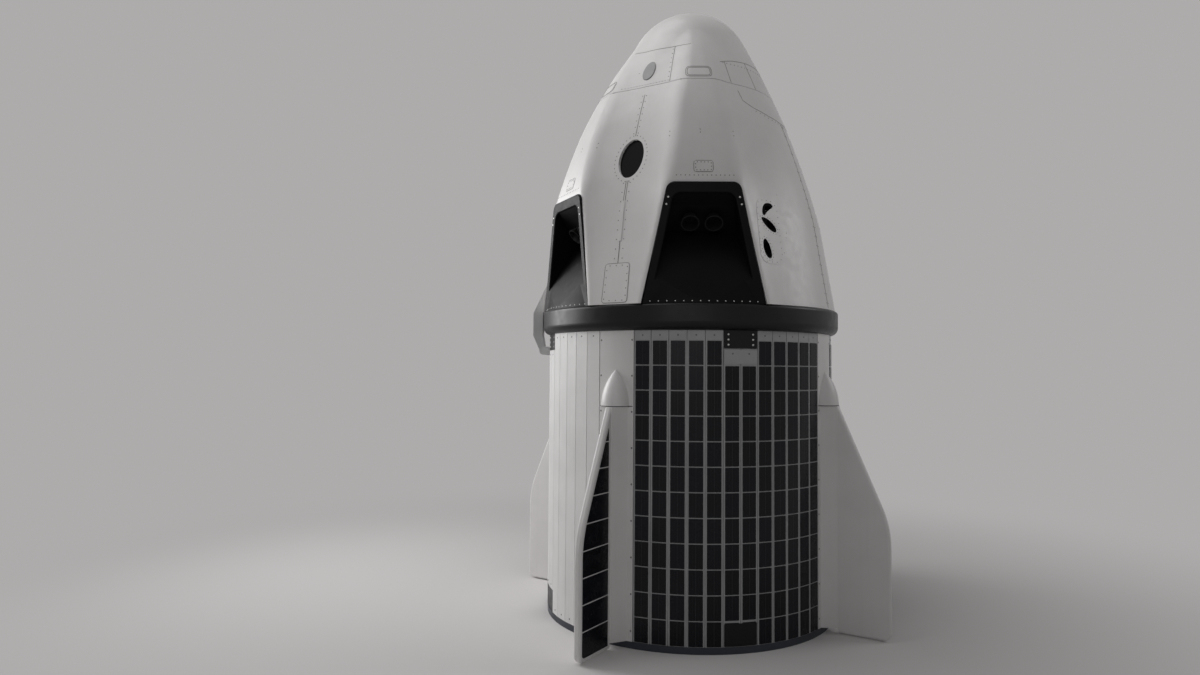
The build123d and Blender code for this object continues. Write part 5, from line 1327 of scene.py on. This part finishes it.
FLOOR_COLOUR = (0.66, 0.645, 0.64)
SURROUND_COLOUR = (0.42, 0.41, 0.408)
FLOOR_FADE = (0.0, 12.0)
FLOOR_SIDES = 96
FLOOR_REACH = 90.0
WORLD_LIGHT = 0.10
WORLD_COLOUR = (1.0, 0.985, 0.98)
LAMPS = [
    # name, azimuth, height, distance, width, power, aim height
    ("left_bank", -74.0, 6.5, 9.5, 6.0, 640.0, 3.6),
    ("right_bank", 118.0, 8.0, 9.5, 4.0, 150.0, 4.5),
    ("top_bank", -40.0, 14.5, 3.5, 7.0, 330.0, 5.0),
    ("front_fill", 24.0, 7.0, 13.0, 8.0, 130.0, 3.4),
]


def plainly_seen(tree):
    """1 for rays from the camera, a reflection or glass, which see the plain surround; 0 for light."""
    rays = add_node(tree, "ShaderNodeLightPath").outputs
    mirrored = arith(tree, "MAXIMUM", rays["Is Glossy Ray"], rays["Is Transmission Ray"])
    return arith(tree, "MAXIMUM", rays["Is Camera Ray"], mirrored)


def build_stage():
    """Wide pale floor that fades into an even pale surround."""
    points = [(0.0, 0.0, 0.0)]
    for index in range(FLOOR_SIDES):
        turn = 2 * math.pi * index / FLOOR_SIDES
        points.append((FLOOR_REACH * math.cos(turn), FLOOR_REACH * math.sin(turn), 0.0))
    faces = [(0, 1 + index, 1 + (index + 1) % FLOOR_SIDES) for index in range(FLOOR_SIDES)]
    mesh = from_lists("floor", points, faces)
    floor = bpy.data.objects.new("floor", mesh)
    bpy.context.scene.collection.objects.link(floor)
    material = bpy.data.materials.new("floor_pale")
    material.use_nodes = True
    tree = material.node_tree
    tree.nodes.clear()
    place = add_node(tree, "ShaderNodeTexCoord").outputs["Object"]
    away = add_node(tree, "ShaderNodeVectorMath", {0: place}, operation="LENGTH").outputs["Value"]
    fade = ramp_value(tree, away, *FLOOR_FADE, 0.0, 1.0)
    fade.node.interpolation_type = "SMOOTHERSTEP"
    fade = arith(tree, "MULTIPLY", fade, plainly_seen(tree))
    lit = add_node(tree, "ShaderNodeBsdfDiffuse", {"Color": rgba(FLOOR_COLOUR)})
    plain = add_node(tree, "ShaderNodeEmission", {"Color": rgba(SURROUND_COLOUR), "Strength": 1.0})
    both = add_node(tree, "ShaderNodeMixShader", {0: fade, 1: lit.outputs[0], 2: plain.outputs[0]})
    add_node(tree, "ShaderNodeOutputMaterial", {"Surface": both.outputs[0]})
    mesh.materials.append(material)


def build_light():
    """Soft banks at both sides, a weaker one above and in front, and an even surround."""
    world = bpy.data.worlds.new("surround")
    bpy.context.scene.world = world
    world.use_nodes = True
    tree = world.node_tree
    tree.nodes.clear()
    seen = plainly_seen(tree)
    even = add_node(tree, "ShaderNodeBackground", {"Color": rgba(WORLD_COLOUR), "Strength": WORLD_LIGHT})
    plain = add_node(tree, "ShaderNodeBackground", {"Color": rgba(SURROUND_COLOUR), "Strength": 1.0})
    both = add_node(tree, "ShaderNodeMixShader", {0: seen, 1: even.outputs[0], 2: plain.outputs[0]})
    add_node(tree, "ShaderNodeOutputWorld", {"Surface": both.outputs[0]})
    for name, azimuth, height, distance, width, power, aim in LAMPS:
        lamp = bpy.data.lights.new(name, "AREA")
        lamp.shape = "SQUARE"
        lamp.size = width
        lamp.energy = power
        holder = bpy.data.objects.new(name, lamp)
        holder.location = outward(azimuth) * distance + Vector((0, 0, height))
        gaze = Vector((0, 0, aim)) - holder.location
        holder.rotation_euler = gaze.to_track_quat("-Z", "Y").to_euler()
        bpy.context.scene.collection.objects.link(holder)


def build_camera():
    """Camera at the photograph's place, turned by its pitch, yaw and roll."""
    pitch, yaw, roll = (math.radians(v) for v in (CAMERA_PITCH, CAMERA_YAW, CAMERA_ROLL))
    across, ahead = sideways(CAMERA_AZIMUTH), -outward(CAMERA_AZIMUTH)
    rise = Vector((0, 0, 1))
    level_ahead = -math.sin(yaw) * across + math.cos(yaw) * ahead
    right = math.cos(yaw) * across + math.sin(yaw) * ahead
    gaze = math.cos(pitch) * level_ahead + math.sin(pitch) * rise
    up = -math.sin(pitch) * level_ahead + math.cos(pitch) * rise
    rolled_right = math.cos(roll) * right - math.sin(roll) * up
    rolled_up = math.sin(roll) * right + math.cos(roll) * up
    camera = bpy.data.cameras.new("camera")
    camera.sensor_width = SENSOR_WIDTH
    camera.lens = SENSOR_WIDTH * FOCAL_PIXELS / IMAGE_WIDTH
    holder = bpy.data.objects.new("camera", camera)
    turn = Matrix((rolled_right, rolled_up, -gaze)).transposed()
    place = outward(CAMERA_AZIMUTH) * CAMERA_DISTANCE + Vector((0, 0, CAMERA_HEIGHT))
    holder.matrix_world = Matrix.Translation(place) @ turn.to_4x4()
    bpy.context.scene.collection.objects.link(holder)
    bpy.context.scene.camera = holder


dress_nodes()
SKIN = build_skin()
# Painted shade: the skin under the leaf openings and the port wells are painted black
paint_port_shade(SKIN[:4])
build_window_faces()
build_pod_details()
build_ports()
build_nose_details()
build_side_details()
build_trunk_details()
build_docking_details()
build_seat_pads()
build_stage()
build_light()
build_camera()

bpy.context.scene.view_settings.view_transform = "Standard"
bpy.context.view_layer.update()
